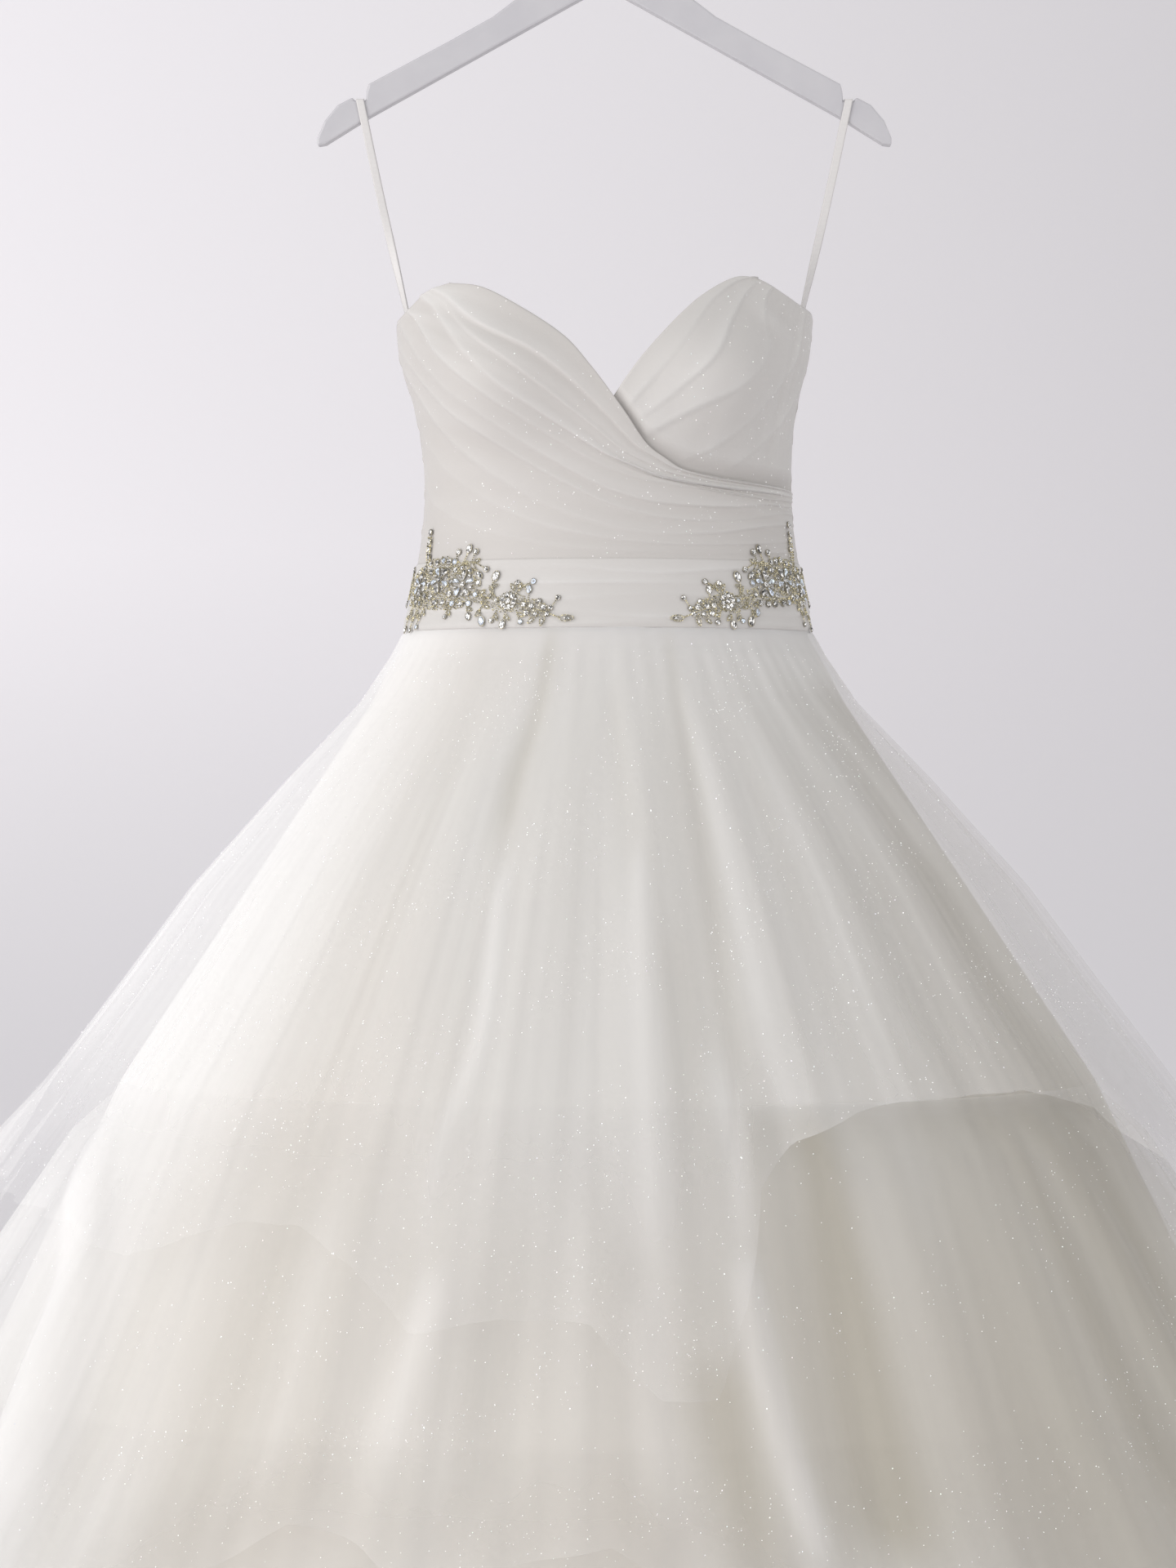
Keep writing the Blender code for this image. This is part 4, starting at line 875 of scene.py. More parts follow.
def band_of(start, end):
    """A length of the ruched band: soft folds run round it, drifting up and down and fading in and out."""
    folds = ((0.13, 0.0011), (0.34, 0.0013), (0.55, 0.0009), (0.76, 0.0012), (0.93, 0.0007))

    def at(s, q):
        angle = start + (end - start) * s
        z = BAND_TOP + 0.0022 + (BAND_BOTTOM - BAND_TOP - 0.0022) * q
        drift = 0.05 * np.sin(3 * angle + 0.6) + 0.03 * np.sin(7 * angle)
        height = np.zeros(np.broadcast(s, q).shape)
        for number, (middle, tall) in enumerate(folds):
            t = (q - middle - drift * math.sin(2.2 * number + 1)) / 0.12
            uneven = 0.6 + 0.4 * np.sin((3 + number) * angle + 1.9 * number)
            rise = np.where(t < 0, np.exp(1.8 * np.minimum(t, 0)), 1 - smoothstep(t, 0.0, 0.4))
            height = height + tall * uneven * rise
        height = height * smoothstep(q, 0.0, 0.05) * (1 - smoothstep(q, 0.90, 1.0))
        lap = 0.0005 * (1 - smoothstep(q, 0.0, 0.15)) - 0.0010 * smoothstep(q, 0.94, 1.0)
        # painted shade: the fold number is highest where the cloth lies low between the band's folds
        return torso(angle, z, OUTER + height + lap), 0.6 - 0.6 * np.clip(height / 0.0016, 0, 1)

    return at


FRONT_END = SIDE - seam_gap(0.103)
BACK_START, BACK_END = SIDE + seam_gap(0.092), BACK - seam_gap(0.146)
BAND_FRONT = (280, 44, (0.41, 0.055, 0.0225), "folded")
BAND_BACK = (130, 44, (0.21, 0.055, 0.0110), "folded")
CLOTH = {
    "draped_front": (drape_at, "bodice_front_drape", 260, 150, (0.44, 0.21, 0.066), "folded"),
    "cup_front": (cup_at, "bodice_front_cup", 110, 140, (0.21, 0.16, 0.033), "folded"),
    "back_left": (back_of(1), "bodice_back_left", 110, 90, (0.20, 0.19, 0.026), "stretched"),
    "back_right": (back_of(-1), "bodice_back_right", 110, 90, (0.20, 0.19, 0.026), "stretched"),
    "band_front": (band_of(-FRONT_END, FRONT_END), "waistband_front", *BAND_FRONT),
    "band_back_left": (band_of(BACK_START, BACK_END), "waistband_back_left", *BAND_BACK),
    "band_back_right": (band_of(-BACK_END, -BACK_START), "waistband_back_right", *BAND_BACK),
}
for cloth_name, details in CLOTH.items():
    make_cloth(cloth_name, *details)


# Beading


def outline(kind, length, width, count=10):
    """The rim of a cut stone, pointing along +X: an oval, whose sides are drawn in for a marquise and whose
    near end is narrowed for a pear."""
    t = np.arange(count) * 2 * math.pi / count
    x, y = np.cos(t), np.sin(t)
    if kind == "marquise":
        y = y * np.abs(y) ** 0.35
    if kind == "pear":
        y = y * (0.55 + 0.45 * x)
    return np.stack([x * length / 2, y * width / 2], axis=-1)


def stone(kind, length, width, count=10):
    """A cut stone in its metal setting: the setting's rim, a girdle, a ring of crown facets and a table, each
    ring the outline scaled by a number at a height. Gives points, triangles, and for each triangle whether it
    is metal."""
    rim = outline(kind, length, width, count)
    high = 0.34 * min(width, length)
    rings = [(1.10, 0.0), (1.10, 0.45 * high), (0.92, 0.50 * high), (0.58, high)]
    points = [np.column_stack([rim * scale, np.full(count, height)]) for scale, height in rings]
    points = np.concatenate([*points, [[0.0, 0.0, high * 1.05]]])
    here = np.arange(count)
    after = (here + 1) % count
    lower = np.arange(3)[:, None] * count
    a, b = lower + here, lower + after
    sides = np.stack([a, b, a + count, b, b + count, a + count], axis=-1).reshape(-1, 3)
    table = np.column_stack([3 * count + here, 3 * count + after, np.full(count, 4 * count)])
    triangles = np.concatenate([sides, table])
    return points, triangles, np.arange(len(triangles)) < 4 * count


def bead():
    """A seed bead: a twenty-sided ball."""
    work = bmesh.new()
    bmesh.ops.create_icosphere(work, subdivisions=1, radius=1.0)
    work.verts.ensure_lookup_table()
    points = np.array([v.co for v in work.verts])
    triangles = np.array([[v.index for v in face.verts] for face in work.faces])
    work.free()
    return points, triangles


# The stone at a sprig's end: its kind, and its length and width in the sprig's size.
SPRIG_ENDS = {
    "round": ("round", 1.0, 1.0),
    "oval": ("round", 1.65, 1.1),
    "marquise": ("marquise", 2.0, 1.1),
    "pear": ("pear", 1.7, 1.2),
}


def turned(x, y, angle):
    """x and y turned by an angle."""
    return x * np.cos(angle) - y * np.sin(angle), x * np.sin(angle) + y * np.cos(angle)


def lengths_along(line):
    """The length run at each point of a line."""
    return np.concatenate([[0.0], np.cumsum(np.linalg.norm(np.diff(line, axis=0), axis=1))])


class Spray:
    """A beaded spray laid out flat and sewn round the hip. Flat coordinates are in millimetres: w runs from
    the spray's tip towards the side seam and on to the back, and h is the height."""

    def __init__(self, side, tip_degrees, seed):
        self.side = side
        self.degrees = np.linspace(0, 130, 400)
        self.length = lengths_along(torso(np.radians(self.degrees), np.full(400, -0.560), OUTER)[:, :2])
        self.tip = np.interp(tip_degrees, self.degrees, self.length)
        self.scale = (np.interp(112.0, self.degrees, self.length) - self.tip) / 0.222
        self.draw = np.random.default_rng(seed)
        self.points, self.triangles, self.tones = [], [], []
        self.count = 0
        self.taken = []
        self.beads = []

    def jitter(self, amount):
        """A random shift of at most this much either way."""
        return self.draw.uniform(-amount, amount)

    def surface(self, w, h):
        """The place of (w, h) just over the band: w is a length round it from the tip, turned into an
        angle."""
        reach = self.tip + w * 0.001 * self.scale
        angle = self.side * np.radians(np.interp(reach, self.length, self.degrees))
        over_skirt = 0.0004 * np.maximum(-586.0 - h, 0.0)
        return torso(angle, h * 0.001, OUTER + 0.0010 + over_skirt)

    def add(self, points, triangles, tones):
        """Adds faces to the spray's mesh, turned to face outwards on the mirrored side."""
        if self.side < 0:
            triangles = triangles[:, ::-1]
        self.points.append(points)
        self.triangles.append(triangles + self.count)
        self.tones.append(tones)
        self.count += len(points)

    def frame_at(self, w, h):
        """Points of the surface with its unit directions along w, along h and outwards."""
        w, h = np.atleast_1d(np.asarray(w, float)), np.atleast_1d(np.asarray(h, float))
        point = self.surface(w, h)
        across = unit(self.surface(w + 0.5, h) - point)
        up = unit(self.surface(w, h + 0.5) - point)
        out = unit(np.cross(across, up)) * self.side
        return point, across, up, out

    def set_stone(self, kind, w, h, length, width, turn=0.0, opal=False, lift=0.0):
        """Sews on a stone, turned by degrees from the direction of w."""
        local, triangles, metal = stone(kind, length * 0.001, width * 0.001, 12 if kind == "round" else 10)
        x, y = turned(local[:, 0], local[:, 1], math.radians(turn))
        point, across, up, out = self.frame_at(w, h)
        placed = point + x[:, None] * across + y[:, None] * up + (local[:, 2:] + lift * 0.001) * out
        # painted reflections: each facet dark, mid or bright at random, the brightest above white as painted
        # glints, and the setting's facets likewise in gold
        shade = self.draw.random(len(triangles))[:, None]
        bright = np.where(shade < 0.52, 0.015 + 0.30 * shade, np.where(shade < 0.72, 0.42, 1.15))
        bright = bright * self.draw.uniform(0.65, 1.1)
        colour = bright * np.array([[1.0, 0.985, 0.96]])
        if opal:
            colour = 0.25 + 0.75 * bright * np.array([[0.738, 0.8924, 1.155]])
        setting = (0.04 + 0.34 * shade) * np.array([[1.0, 0.89, 0.64]])
        self.add(placed, triangles, np.where(metal[:, None], setting, np.minimum(colour, 1.2)))
        self.taken.append((w, h, 0.5 * max(length, width) * 0.85))

    def string(self, line, size=1.35):
        """Sews seed beads along a line of (w, h) points."""
        line = np.asarray(line, float)
        length = lengths_along(line)
        count = max(int(length[-1] / (size * 0.98)), 1)
        where = (np.arange(count) + 0.5) / count * length[-1]
        for a in where:
            self.beads.append((np.interp(a, length, line[:, 0]), np.interp(a, length, line[:, 1]), size))

    def leaf(self, w, h, turn, length=7.5, width=4.2, heart=True):
        """A loop of seed beads, narrower at its far end, with a small stone or a vein of beads inside."""
        a = math.radians(turn)
        t = np.linspace(0, 2 * math.pi, 40)
        share = (1 - np.cos(t)) / 2
        x, y = turned(share * length, np.sin(t) * width / 2 * (1 - 0.45 * share), a)
        self.string(np.column_stack([w + x, h + y]), 1.2)
        middle = (w + 0.52 * length * math.cos(a), h + 0.52 * length * math.sin(a))
        if heart:
            self.set_stone("marquise", *middle, length * 0.5, width * 0.42, turn)
        else:
            self.string([(w, h), middle], 1.1)

    def sprig(self, line, end="round", leaves=2, size=3.8):
        """A stem of beads with leaves on alternate sides and a stone at its end."""
        line = np.asarray(line, float)
        knots = np.linspace(0, 1, len(line))
        fine = np.linspace(0, 1, 30)
        curve = np.column_stack([smooth(fine, knots, line[:, 0]), smooth(fine, knots, line[:, 1])])
        self.string(curve)
        heading = math.degrees(math.atan2(curve[-1, 1] - curve[-4, 1], curve[-1, 0] - curve[-4, 0]))
        for k in range(leaves):
            place = curve[int((k + 1) / (leaves + 1) * 26)]
            self.leaf(*place, heading + (52 if k % 2 else -52), 5.6, 3.2, heart=k % 2 == 0)
        kind, length, width = SPRIG_ENDS[end]
        reach = size * length * 0.55
        w = curve[-1, 0] + reach * math.cos(math.radians(heading))
        h = curve[-1, 1] + reach * math.sin(math.radians(heading))
        opal = self.draw.random() < 0.15
        self.set_stone(kind, w, h, size * length, size * width, heading, opal)

    def flower(self, w, h, petals, length, width, opal, start=0.0, kind="pear"):
        """Stones pointing away from a raised round one, with small stones between the petals."""
        ring = 0.5 * length + 2.3
        for k in range(petals):
            turn = start + 360.0 * k / petals
            a = math.radians(turn)
            b = a + math.pi / petals
            petal = w + ring * math.cos(a), h + ring * math.sin(a)
            between = w + (ring + 1.2) * math.cos(b), h + (ring + 1.2) * math.sin(b)
            self.set_stone(kind, *petal, length, width, turn, opal and k % 2 == 0, 0.5)
            self.set_stone("round", *between, 2.8, 2.8)
        self.set_stone("round", w, h, 4.4, 4.4, lift=1.0)

    def fill(self, polygon, spacing):
        """Scatters seed beads evenly inside a polygon wherever no stone lies."""
        polygon = np.asarray(polygon, float)
        low, high = polygon.min(axis=0), polygon.max(axis=0)
        tries = self.draw.uniform(low, high, (2600, 2))
        inside = np.zeros(len(tries), bool)
        for (x0, y0), (x1, y1) in zip(polygon, np.roll(polygon, -1, axis=0)):
            crosses = (y0 > tries[:, 1]) != (y1 > tries[:, 1])
            where = x0 + (tries[:, 1] - y0) * (x1 - x0) / np.where(y1 == y0, 1e-9, y1 - y0)
            inside ^= crosses & (tries[:, 0] < where)
        kept = [(b[0], b[1]) for b in self.beads]
        for w, h in tries[inside]:
            clear = all((w - a) ** 2 + (h - b) ** 2 > (r + 0.3) ** 2 for a, b, r in self.taken)
            if clear and all((w - a) ** 2 + (h - b) ** 2 > spacing**2 for a, b in kept):
                kept.append((w, h))
                self.beads.append((w, h, self.draw.uniform(1.1, 1.7)))

    def finish(self, name, node):
        """Makes the spray's one mesh: every bead turned its own way, each of its facets with its own tone, a
        champagne colour with painted reflections: dark and bright facets at random.
        """
        w, h, size = np.array(self.beads).T
        base, triangles = bead()
        point, across, up, out = self.frame_at(w, h)
        spin = self.draw.uniform(0, math.pi, len(w))[:, None]
        local = base[None] * (size * 0.0005)[:, None, None]
        x, y = turned(local[..., 0], local[..., 1], spin)
        placed = point[:, None] + x[..., None] * across[:, None] + y[..., None] * up[:, None]
        placed = placed + (local[..., 2:] + (size * 0.0004)[:, None, None]) * out[:, None]
        number = np.arange(len(w))[:, None, None] * len(base)
        faces = (triangles[None] + number).reshape(-1, 3)
        # painted reflections: each bead facet dark or bright at random, in the bead's own champagne colour
        shade = self.draw.random((len(w), len(triangles), 1)) ** 2.0
        shade = shade * self.draw.uniform(0.6, 1.2, (len(w), 1, 1))
        warm = self.draw.uniform(0.48, 0.76, (len(w), 1, 1))
        tones = (0.06 + shade) * np.concatenate([np.ones_like(warm), 0.75 + 0.25 * warm, warm], axis=-1)
        self.add(placed.reshape(-1, 3), faces, tones.reshape(-1, 3))
        mesh = mesh_of(name, np.concatenate(self.points), np.concatenate(self.triangles), False)
        paint(mesh, np.concatenate(self.tones))
        link(bpy.data.objects.new(name, mesh), STONES, node=node)


# Round stones set one by one, as w, h and size: the tip's cluster, the ground between the flowers, and the
# double string that climbs the bodice.
TIP_STONES = (
    (21, -576, 4.0), (25, -571, 4.8), (30, -576.5, 4.0), (33, -570, 4.6), (19, -571.5, 3.8), (37, -575, 4.2),
    (28, -566.5, 3.8), (40, -569, 4.4),
)  # fmt: skip
GROUND_STONES = (
    (79, -552, 4.4), (80, -561, 4.2), (85, -567, 4.6), (93, -568, 4.6), (101, -567, 5.0), (105, -560, 5.0),
    (106, -551, 4.0), (103, -542, 4.6), (105, -536, 4.6), (111, -535, 5.0), (118, -534, 4.4),
    (126, -536, 4.8), (131, -543, 4.6), (132, -552, 4.8), (111, -566, 4.8), (119, -566, 4.6),
    (126, -562, 4.8), (134, -561, 4.6), (140, -566, 4.4), (134, -536, 4.2), (142, -540, 4.4),
    (151, -542, 4.0), (156, -551, 4.4), (154, -562, 4.2), (147, -565, 4.4), (97, -541, 4.0), (88, -543, 4.2),
)  # fmt: skip
CLIMBING_STONES = ((139.0, -531, 4.2), (141.0, -525, 4.0), (142.0, -519, 4.2), (142.0, -512.0, 4.8))
# The sprigs of the tip and of the upper branch: points of w and h, the end's stone, leaves, and size.
TIP_SPRIGS = (
    (((19, -572), (15, -566)), "round", 0, 3.8),
    (((36, -568), (36.5, -561.5)), "oval", 0, 4.0),
)
FLOWER_SPRIGS = (
    (((47, -562), (42, -556), (36, -553)), "round", 2, 4.4),
    (((49, -561), (47, -555)), "round", 1, 4.0),
    (((53, -574), (54, -580)), "oval", 1, 4.2),
    (((45, -573), (42, -580)), "round", 1, 4.2),
    (((60, -573), (63, -579)), "round", 1, 3.8),
    (((63, -563), (67, -557), (66, -552)), "oval", 2, 5.0),
    (((68, -566), (74, -572), (73, -577)), "oval", 2, 4.8),
    (((80, -560), (72, -563), (64, -565)), "round", 3, 3.4),
)
UPPER_SPRIGS = (
    (((102, -541), (94, -537), (85, -537), (76, -541)), "round", 3, 4.4),
    (((97, -538), (94, -533), (93, -530)), "oval", 0, 4.2),
    (((88, -537), (86, -531)), "round", 0, 4.6),
    (((104, -537), (103, -531)), "round", 0, 4.6),
    (((87, -537), (82, -543)), "marquise", 0, 3.8),
)
# The ends that hang over the waist seam on either side: w and h of the start, length, lean and end's stone.
HANGING_ENDS = {
    1: ((82, -564, 7, -100, "oval"), (134, -562, 18, -72, "round"), (146, -564, 20, -70, "round")),
    -1: (
        (86, -569, 5, -100, "oval"),
        (104, -569, 6, -84, "round"),
        (131, -566, 17, -66, "round"),
        (141, -566, 19, -72, "round"),
        (151, -566, 17, -70, "oval"),
    ),
}
# Outlines of w and h that are filled with beads, the first one's lower edge raised on the left side.
GROUND_TOP = ((76, -556), (82, -543), (98, -537), (112, -531), (134, -533), (156, -541), (164, -552))
GROUND_FOOT = ((158, -568), (136, -571), (96, -572), (80, -566))
FLOWER_GROUND = (
    (38, -563), (52, -559), (60, -562), (70, -561), (80, -557),
    (80, -567), (68, -570), (60, -575), (44, -574),
)  # fmt: skip
TIP_GROUND = ((18, -574), (28, -565), (42, -565), (42, -575), (30, -579))


def make_spray(name, node, side, tip_degrees, seed):
    """The layout of one hip spray: a trailing stem with leaf loops, two clusters, three flowers, an upper
    branch, hanging ends and a sprig that runs on to the back, then the dense ground of beads that holds them
    together."""
    spray = Spray(side, tip_degrees, seed)
    jitter = spray.jitter
    spray.leaf(12.0, -579.5, 180, 10.5, 5.6)
    spray.sprig([(62, -565), (42, -569), (26, -574), (11, -579.5)], "round", 0, 0.1)
    for w, h, size in TIP_STONES:
        spray.set_stone("round", w + jitter(0.6), h + jitter(0.6), size, size)
    spray.leaf(24, -578, -78, 7.5, 4.4)
    spray.leaf(31, -579, -46, 6.0, 3.8)
    for sprig in TIP_SPRIGS:
        spray.sprig(*sprig)
    spray.flower(52, -566.5, 6, 4.4, 4.2, False, 15, "round")
    for sprig in FLOWER_SPRIGS:
        spray.sprig(*sprig)
    spray.flower(93, -553.0, 5, 8.6, 6.2, True, 18)
    spray.flower(118, -549, 5, 8.4, 6.0, True, 60)
    spray.flower(145, -552, 5, 7.4, 5.4, True, 30)
    for w, h, size in GROUND_STONES:
        place = w + jitter(0.5), h + jitter(0.5)
        spray.set_stone("round", *place, size, size, opal=spray.draw.random() < 0.12)
    for sprig in UPPER_SPRIGS:
        spray.sprig(*sprig)
    for shift in (-2.2, 2.2):
        spray.string([(138 + shift, -536), (141 + shift, -527), (142 + shift, -515)], 2.0)
    for w, h, size in CLIMBING_STONES:
        spray.set_stone("round", w, h + (6 if side > 0 else 0), size, size, lift=0.4)
    for w, h, length, lean, end in HANGING_ENDS[side]:
        a = math.radians(lean + jitter(5))
        end_w, end_h = w + length * math.cos(a), h + length * math.sin(a)
        middle = (w + end_w) / 2 + jitter(0.8), (h + end_h) / 2
        spray.sprig([(w, h), middle, (end_w, end_h)], end, 1 + (length > 8), 3.8)
    spray.sprig([(150, -552), (172, -551), (196, -552), (216, -553)], "pear", 6, 4.4)
    for w, h in ((168, -542), (172, -562), (182, -543), (190, -561), (202, -545)):
        line = [(w - 4, -551.5), (w, (h - 551) / 2), (w + 4, h)]
        spray.sprig(line, "round" if w % 4 else "oval", 1, 4.0)
    raised = 0 if side < 0 else 5
    spray.fill([*GROUND_TOP, *((w, h + raised) for w, h in GROUND_FOOT)], 1.25)
    spray.fill(FLOWER_GROUND, 1.45)
    spray.fill(TIP_GROUND, 1.45)
    spray.finish(name, node)


make_spray("hip_beading_left", "hip_spray_left", 1, 16.6, 21)
make_spray("hip_beading_right", "hip_spray_right", -1, 9.0, 34)


# Glitter


def flakes(name, surface, a, b, seed):
    """Small flat square flakes lying on a surface of two shares, each turned and tilted its own way, each
    with a painted glint: a brightness of its own at random, and the GLITTER finish's glow.
    """
    draw = np.random.default_rng(seed)
    point, along_a, along_b, out = face_frame(surface, a, b)
    count = len(a)
    spin = draw.uniform(0, 2 * math.pi, (count, 1, 1)) + np.arange(4)[None, :, None] * math.pi / 2
    tilt = draw.normal(0, 0.35, (count, 2, 1))
    axis_1 = unit(along_a + tilt[:, 0] * out)
    axis_2 = unit(np.cross(axis_1, out + tilt[:, 1] * along_b))
    half_diagonal = draw.uniform(0.00026, 0.00055, (count, 1, 1))
    corner = np.cos(spin) * axis_1[:, None] + np.sin(spin) * axis_2[:, None]
    corners = point[:, None] + 0.0004 * out[:, None] + half_diagonal * corner
    faces = np.arange(count * 4).reshape(-1, 4)
    mesh = mesh_of(name, corners.reshape(-1, 3), faces, False)
    # painted glints: each flake bright at random, some a little tinted
    bright = draw.uniform(0.55, 1.0, (count, 1))
    hue = 1 - 0.12 * draw.random((count, 3)) * (draw.random((count, 1)) < 0.5)
    paint(mesh, bright * hue)
    link(bpy.data.objects.new(name, mesh), GLITTER)


def clustered(seed, count, scale_a, scale_b, sharp):
    """Random pairs of shares between 0 and 1 that gather in patches of the given size."""
    draw = np.random.default_rng(seed)
    a, b = draw.random((2, count * 6))
    k = draw.uniform(0.5, 1.5, (6, 2)) * [[scale_a, scale_b]] * 2 * math.pi
    shift = draw.uniform(0, 2 * math.pi, 6)
    patch = sum(np.cos(ka * a + kb * b + p) for (ka, kb), p in zip(k, shift)) / 3
    weight = 1 / (1 + np.exp(-sharp * (patch - 0.25)))
    keep = draw.random(len(a)) < weight
    return a[keep][:count], b[keep][:count]


def make_glitter(name, count, surface, seed, on_skirt):
    """Flakes in patches over a cloth surface of two shares: even on the bodice, and a little denser towards
    the foot of a skirt layer."""
    a, b = clustered(60 + seed, count, 9 if on_skirt else 3, 3, 2.6)
    down = 0.05 + 0.945 * b**0.8 if on_skirt else 0.01 + 0.985 * b

    def at_points(p, q):
        return surface(p[None], q[None])[0][0]

    flakes(name, at_points, 0.005 + 0.99 * a, down, 80 + seed)


make_glitter("glitter_drape", 420, drape_at, 1, False)
make_glitter("glitter_cup", 230, lambda a, b: cup_at(a, 0.05 + 0.95 * b), 2, False)
make_glitter("glitter_back_left", 120, back_of(1), 3, False)
make_glitter("glitter_back_right", 120, back_of(-1), 4, False)
make_glitter("glitter_top_tier", 8000, lambda a, b: on_tier("top_tier", 24 * a, b), 5, True)
make_glitter("glitter_middle_tier", 6500, lambda a, b: on_tier("middle_tier", 28 * a, b), 6, True)
make_glitter("glitter_lower_tier", 6000, lambda a, b: on_tier("lower_tier", 28 * a, b), 7, True)


# Ribbon loops, zip, hanger and hook


def make_loops():
    """Each ribbon runs from inside a side seam up over its notch in the hanger and down again, turning a
    quarter on the way: a strip of fixed width along a path."""
    thick, half_gap, end_spread = 0.0007, 0.0069, 0.006
    rest_x, rest_z, entry_x, entry_z, foot_z = 0.1863, -0.1800, 0.1485, -0.352, -0.392
    edge = SIDE + (end_spread + 0.003) / 0.083
    foot_x = float(torso(np.array(edge), np.array(foot_z), OUTER - 0.0028)[0]) - 0.0006
    share = np.linspace(0, 1, 40)[:, None]
    entry = np.array([[entry_x, -end_spread, entry_z]])
    top = np.array([[rest_x, -half_gap, rest_z - 0.0010]])
    strand = entry * (1 - share) + top * share + np.array([[0.0008, 0, 0]]) * np.sin(math.pi * share)
    turn = (math.pi / 3) * (1 - smoothstep(strand[:, 2], entry_z, -0.26))
    arc = np.linspace(-1, 1, 11)[1:-1] * math.pi / 2
    crown = np.column_stack([np.full(9, rest_x), half_gap * np.sin(arc), rest_z + 0.0004 * np.cos(arc)])
    foot = np.array([[foot_x, -end_spread, foot_z]])
    line = np.concatenate([foot, strand, crown, strand[::-1] * [1, -1, 1], foot * [1, -1, 1]])
    turn = np.concatenate([[math.pi / 2], turn, np.zeros(9), -turn[::-1], [-math.pi / 2]])
    tangent = unit(np.gradient(line, axis=0))
    width = np.stack([np.cos(turn), np.sin(turn), np.zeros_like(turn)], axis=1)
    width = unit(width - tangent * (width * tangent).sum(axis=1, keepdims=True))
    across = np.linspace(-1, 1, 7)
    points = line[:, None] + across[None, :, None] * width[:, None] * 0.003
    for hand, side in (("left", 1), ("right", -1)):
        placed = points * [side, 1, 1]
        edge_value = np.abs(across)[None] ** 6
        obj = sheet(f"ribbon_{hand}", placed[:, ::side], False, thick, {"edge": edge_value})
        obj.modifiers["wall"].offset = 0.0
        link(obj, RIBBON, node=f"hanger_loop_{hand}")


def make_zip_tape():
    """The zip's tape: a strip behind the two back edges, from the zip's top to below the waistband."""
    z = np.linspace(ZIP_TOP - 0.001, BAND_BOTTOM + 0.011, 60)[:, None]
    angle = BACK + np.linspace(-0.012 / 0.140, 0.012 / 0.140, 15)[None]
    points = torso(angle, z, OUTER - 0.0026)
    obj = sheet("zip_tape_cloth", points, False, 0.001, {"edge": np.abs(np.linspace(-1, 1, 15))[None] ** 8})
    link(obj, RIBBON, node="zip_tape")


def make_zip_teeth():
    """The zip's teeth: small blocks that meet in the slit between the back edges, each a little to one side
    of the middle in turn."""
    pitch, size = 0.0011, np.array([0.0009, 0.0006, 0.0008]) / 2
    z = np.arange(ZIP_TOP - 0.004, BAND_BOTTOM + 0.014, -pitch)
    side = np.where(np.arange(len(z)) % 2, 1.0, -1.0)
    angle = BACK + side * 0.0004 / 0.140
    point, across, down, out = face_frame(lambda a, b: torso(a, b, OUTER - 0.0018), angle, z)
    corner = np.array([(x, y, h) for x in (-1, 1) for y in (-1, 1) for h in (-1, 1)]) * size
    axes = enumerate((across, down, out))
    points = point[:, None] + sum(corner[None, :, i, None] * axis[:, None] for i, axis in axes)
    box = np.array([(2, 3, 1, 0), (5, 7, 6, 4), (1, 5, 4, 0), (6, 7, 3, 2), (4, 6, 2, 0), (3, 7, 5, 1)])
    faces = (box[None] + 8 * np.arange(len(z))[:, None, None]).reshape(-1, 4)
    mesh = mesh_of("zip_teeth", points.reshape(-1, 3), faces, False)
    link(bpy.data.objects.new("zip_teeth", mesh), STEEL)


make_loops()
make_zip_tape()
make_zip_teeth()

for node in ("hanger", "hanger_hook", "zip_slider", "zip_pull"):
    carried = bpy.data.objects[node]
    for material_slot in carried.material_slots:
        material_slot.material = PAINTED_WOOD if node == "hanger" else STEEL


# Stage, light and camera


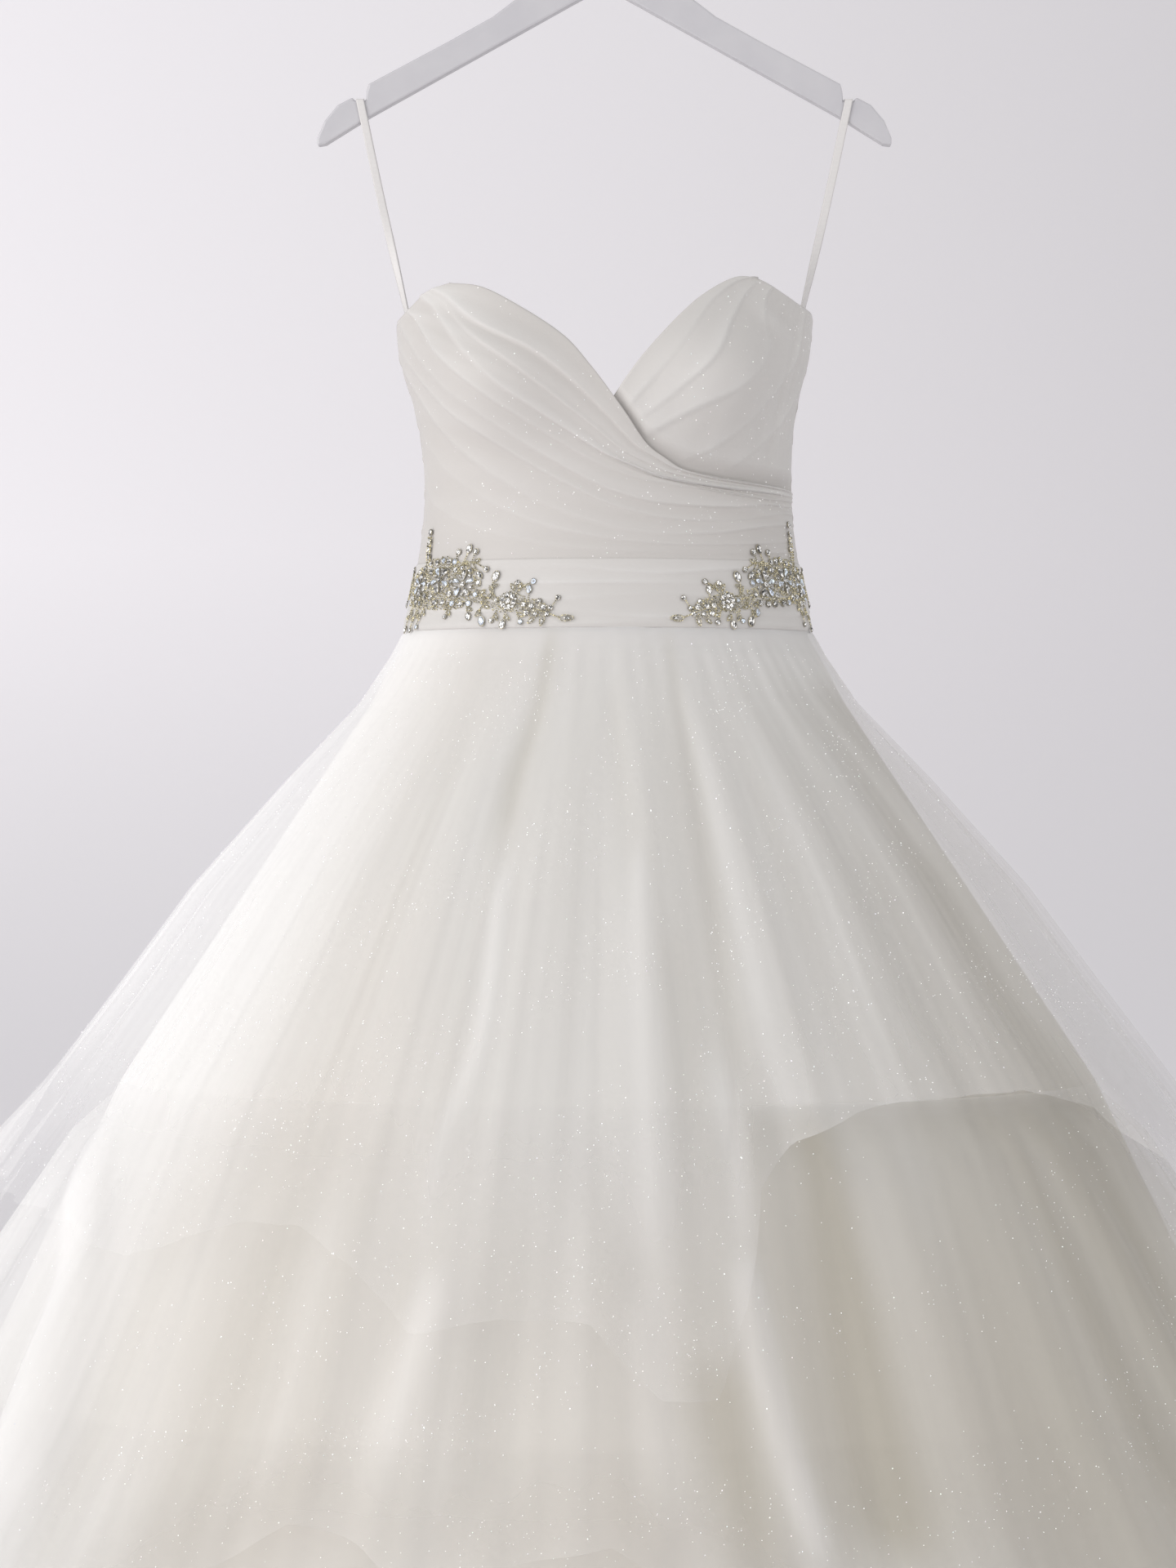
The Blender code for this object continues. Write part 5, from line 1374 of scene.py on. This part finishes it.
def make_stage():
    """A pale wall and floor in one sweep: a profile that turns from wall to floor on a quarter circle. The
    wall stands far enough back for the gown to be seen from behind. It has painted light: it glows a
    little, more on the window's side, and less down on the floor."""
    turn = np.linspace(0, math.pi / 2, 16)
    radius, wall_y, floor_z = 1.5, 12.0, -1.80
    y = np.concatenate([[wall_y, wall_y], wall_y - radius + radius * np.cos(turn), [-9.0]])
    z = np.concatenate([[6.0, floor_z + radius + 0.01], floor_z + radius - radius * np.sin(turn), [floor_z]])
    points = np.stack([np.stack([np.full_like(y, x), y, z], axis=-1) for x in (-10.0, 10.0)], axis=1)
    finish = Finish("pale_wall", Roughness=0.9, Specular_IOR_Level=0.1, Emission_Strength=1.0)
    finish.set(Base_Color=(0.80, 0.785, 0.80, 1.0))
    # painted light: the glow is strongest on the window's side of the wall and faint on the floor
    across = finish.coordinate(0).between(-2.87, 2.87)
    height = finish.coordinate(2).between(-2.02, 0.14)
    wall = finish.mix(across, (0.405, 0.391, 0.405), (0.112, 0.107, 0.110))
    material = finish.set(Emission_Color=finish.mix(height, (0.10, 0.097, 0.10), wall))
    quads = np.array([[i * 2, i * 2 + 1, i * 2 + 3, i * 2 + 2] for i in range(len(points) - 1)])
    mesh = mesh_of("backdrop", points.reshape(-1, 3), quads)
    mesh.materials.append(material)
    obj = bpy.data.objects.new("backdrop", mesh)
    bpy.context.scene.collection.objects.link(obj)


def make_light(name, where, target, size, power, colour):
    """A rectangular lamp that faces a target."""
    data = bpy.data.lights.new(name, "AREA")
    data.shape = "RECTANGLE"
    data.size, data.size_y = size
    data.energy = power
    data.color = colour
    lamp = bpy.data.objects.new(name, data)
    lamp.location = where
    direction = Vector(target) - Vector(where)
    lamp.rotation_euler = direction.to_track_quat("-Z", "Y").to_euler()
    bpy.context.scene.collection.objects.link(lamp)


make_stage()
make_light("window_left", (-2.6, -1.65, 0.0), (0.0, 0.0, -0.9), (3.0, 3.0), 63.0, (1.0, 0.985, 0.975))
make_light("front_fill", (2.4, -2.4, 0.5), (0.0, 0.0, -0.4), (2.0, 2.0), 20.0, (1.0, 0.985, 0.97))

world = bpy.data.worlds.new("studio")
world.use_nodes = True
world.node_tree.nodes["Background"].inputs["Color"].default_value = (0.985, 0.985, 1.0, 1.0)
world.node_tree.nodes["Background"].inputs["Strength"].default_value = 0.60
bpy.context.scene.world = world
bpy.context.scene.view_settings.view_transform = "Standard"

CAMERA_DISTANCE = 3.2
VIEW_HEIGHT = 1.198
camera_data = bpy.data.cameras.new("camera")
camera_data.sensor_width = 36.0
camera_data.lens = 36.0 * CAMERA_DISTANCE / VIEW_HEIGHT
camera = bpy.data.objects.new("camera", camera_data)
camera.location = (-0.0125, -CAMERA_DISTANCE, -0.702)
camera.rotation_euler = (math.radians(90.0), 0.0, 0.0)
bpy.context.scene.collection.objects.link(camera)
bpy.context.scene.camera = camera
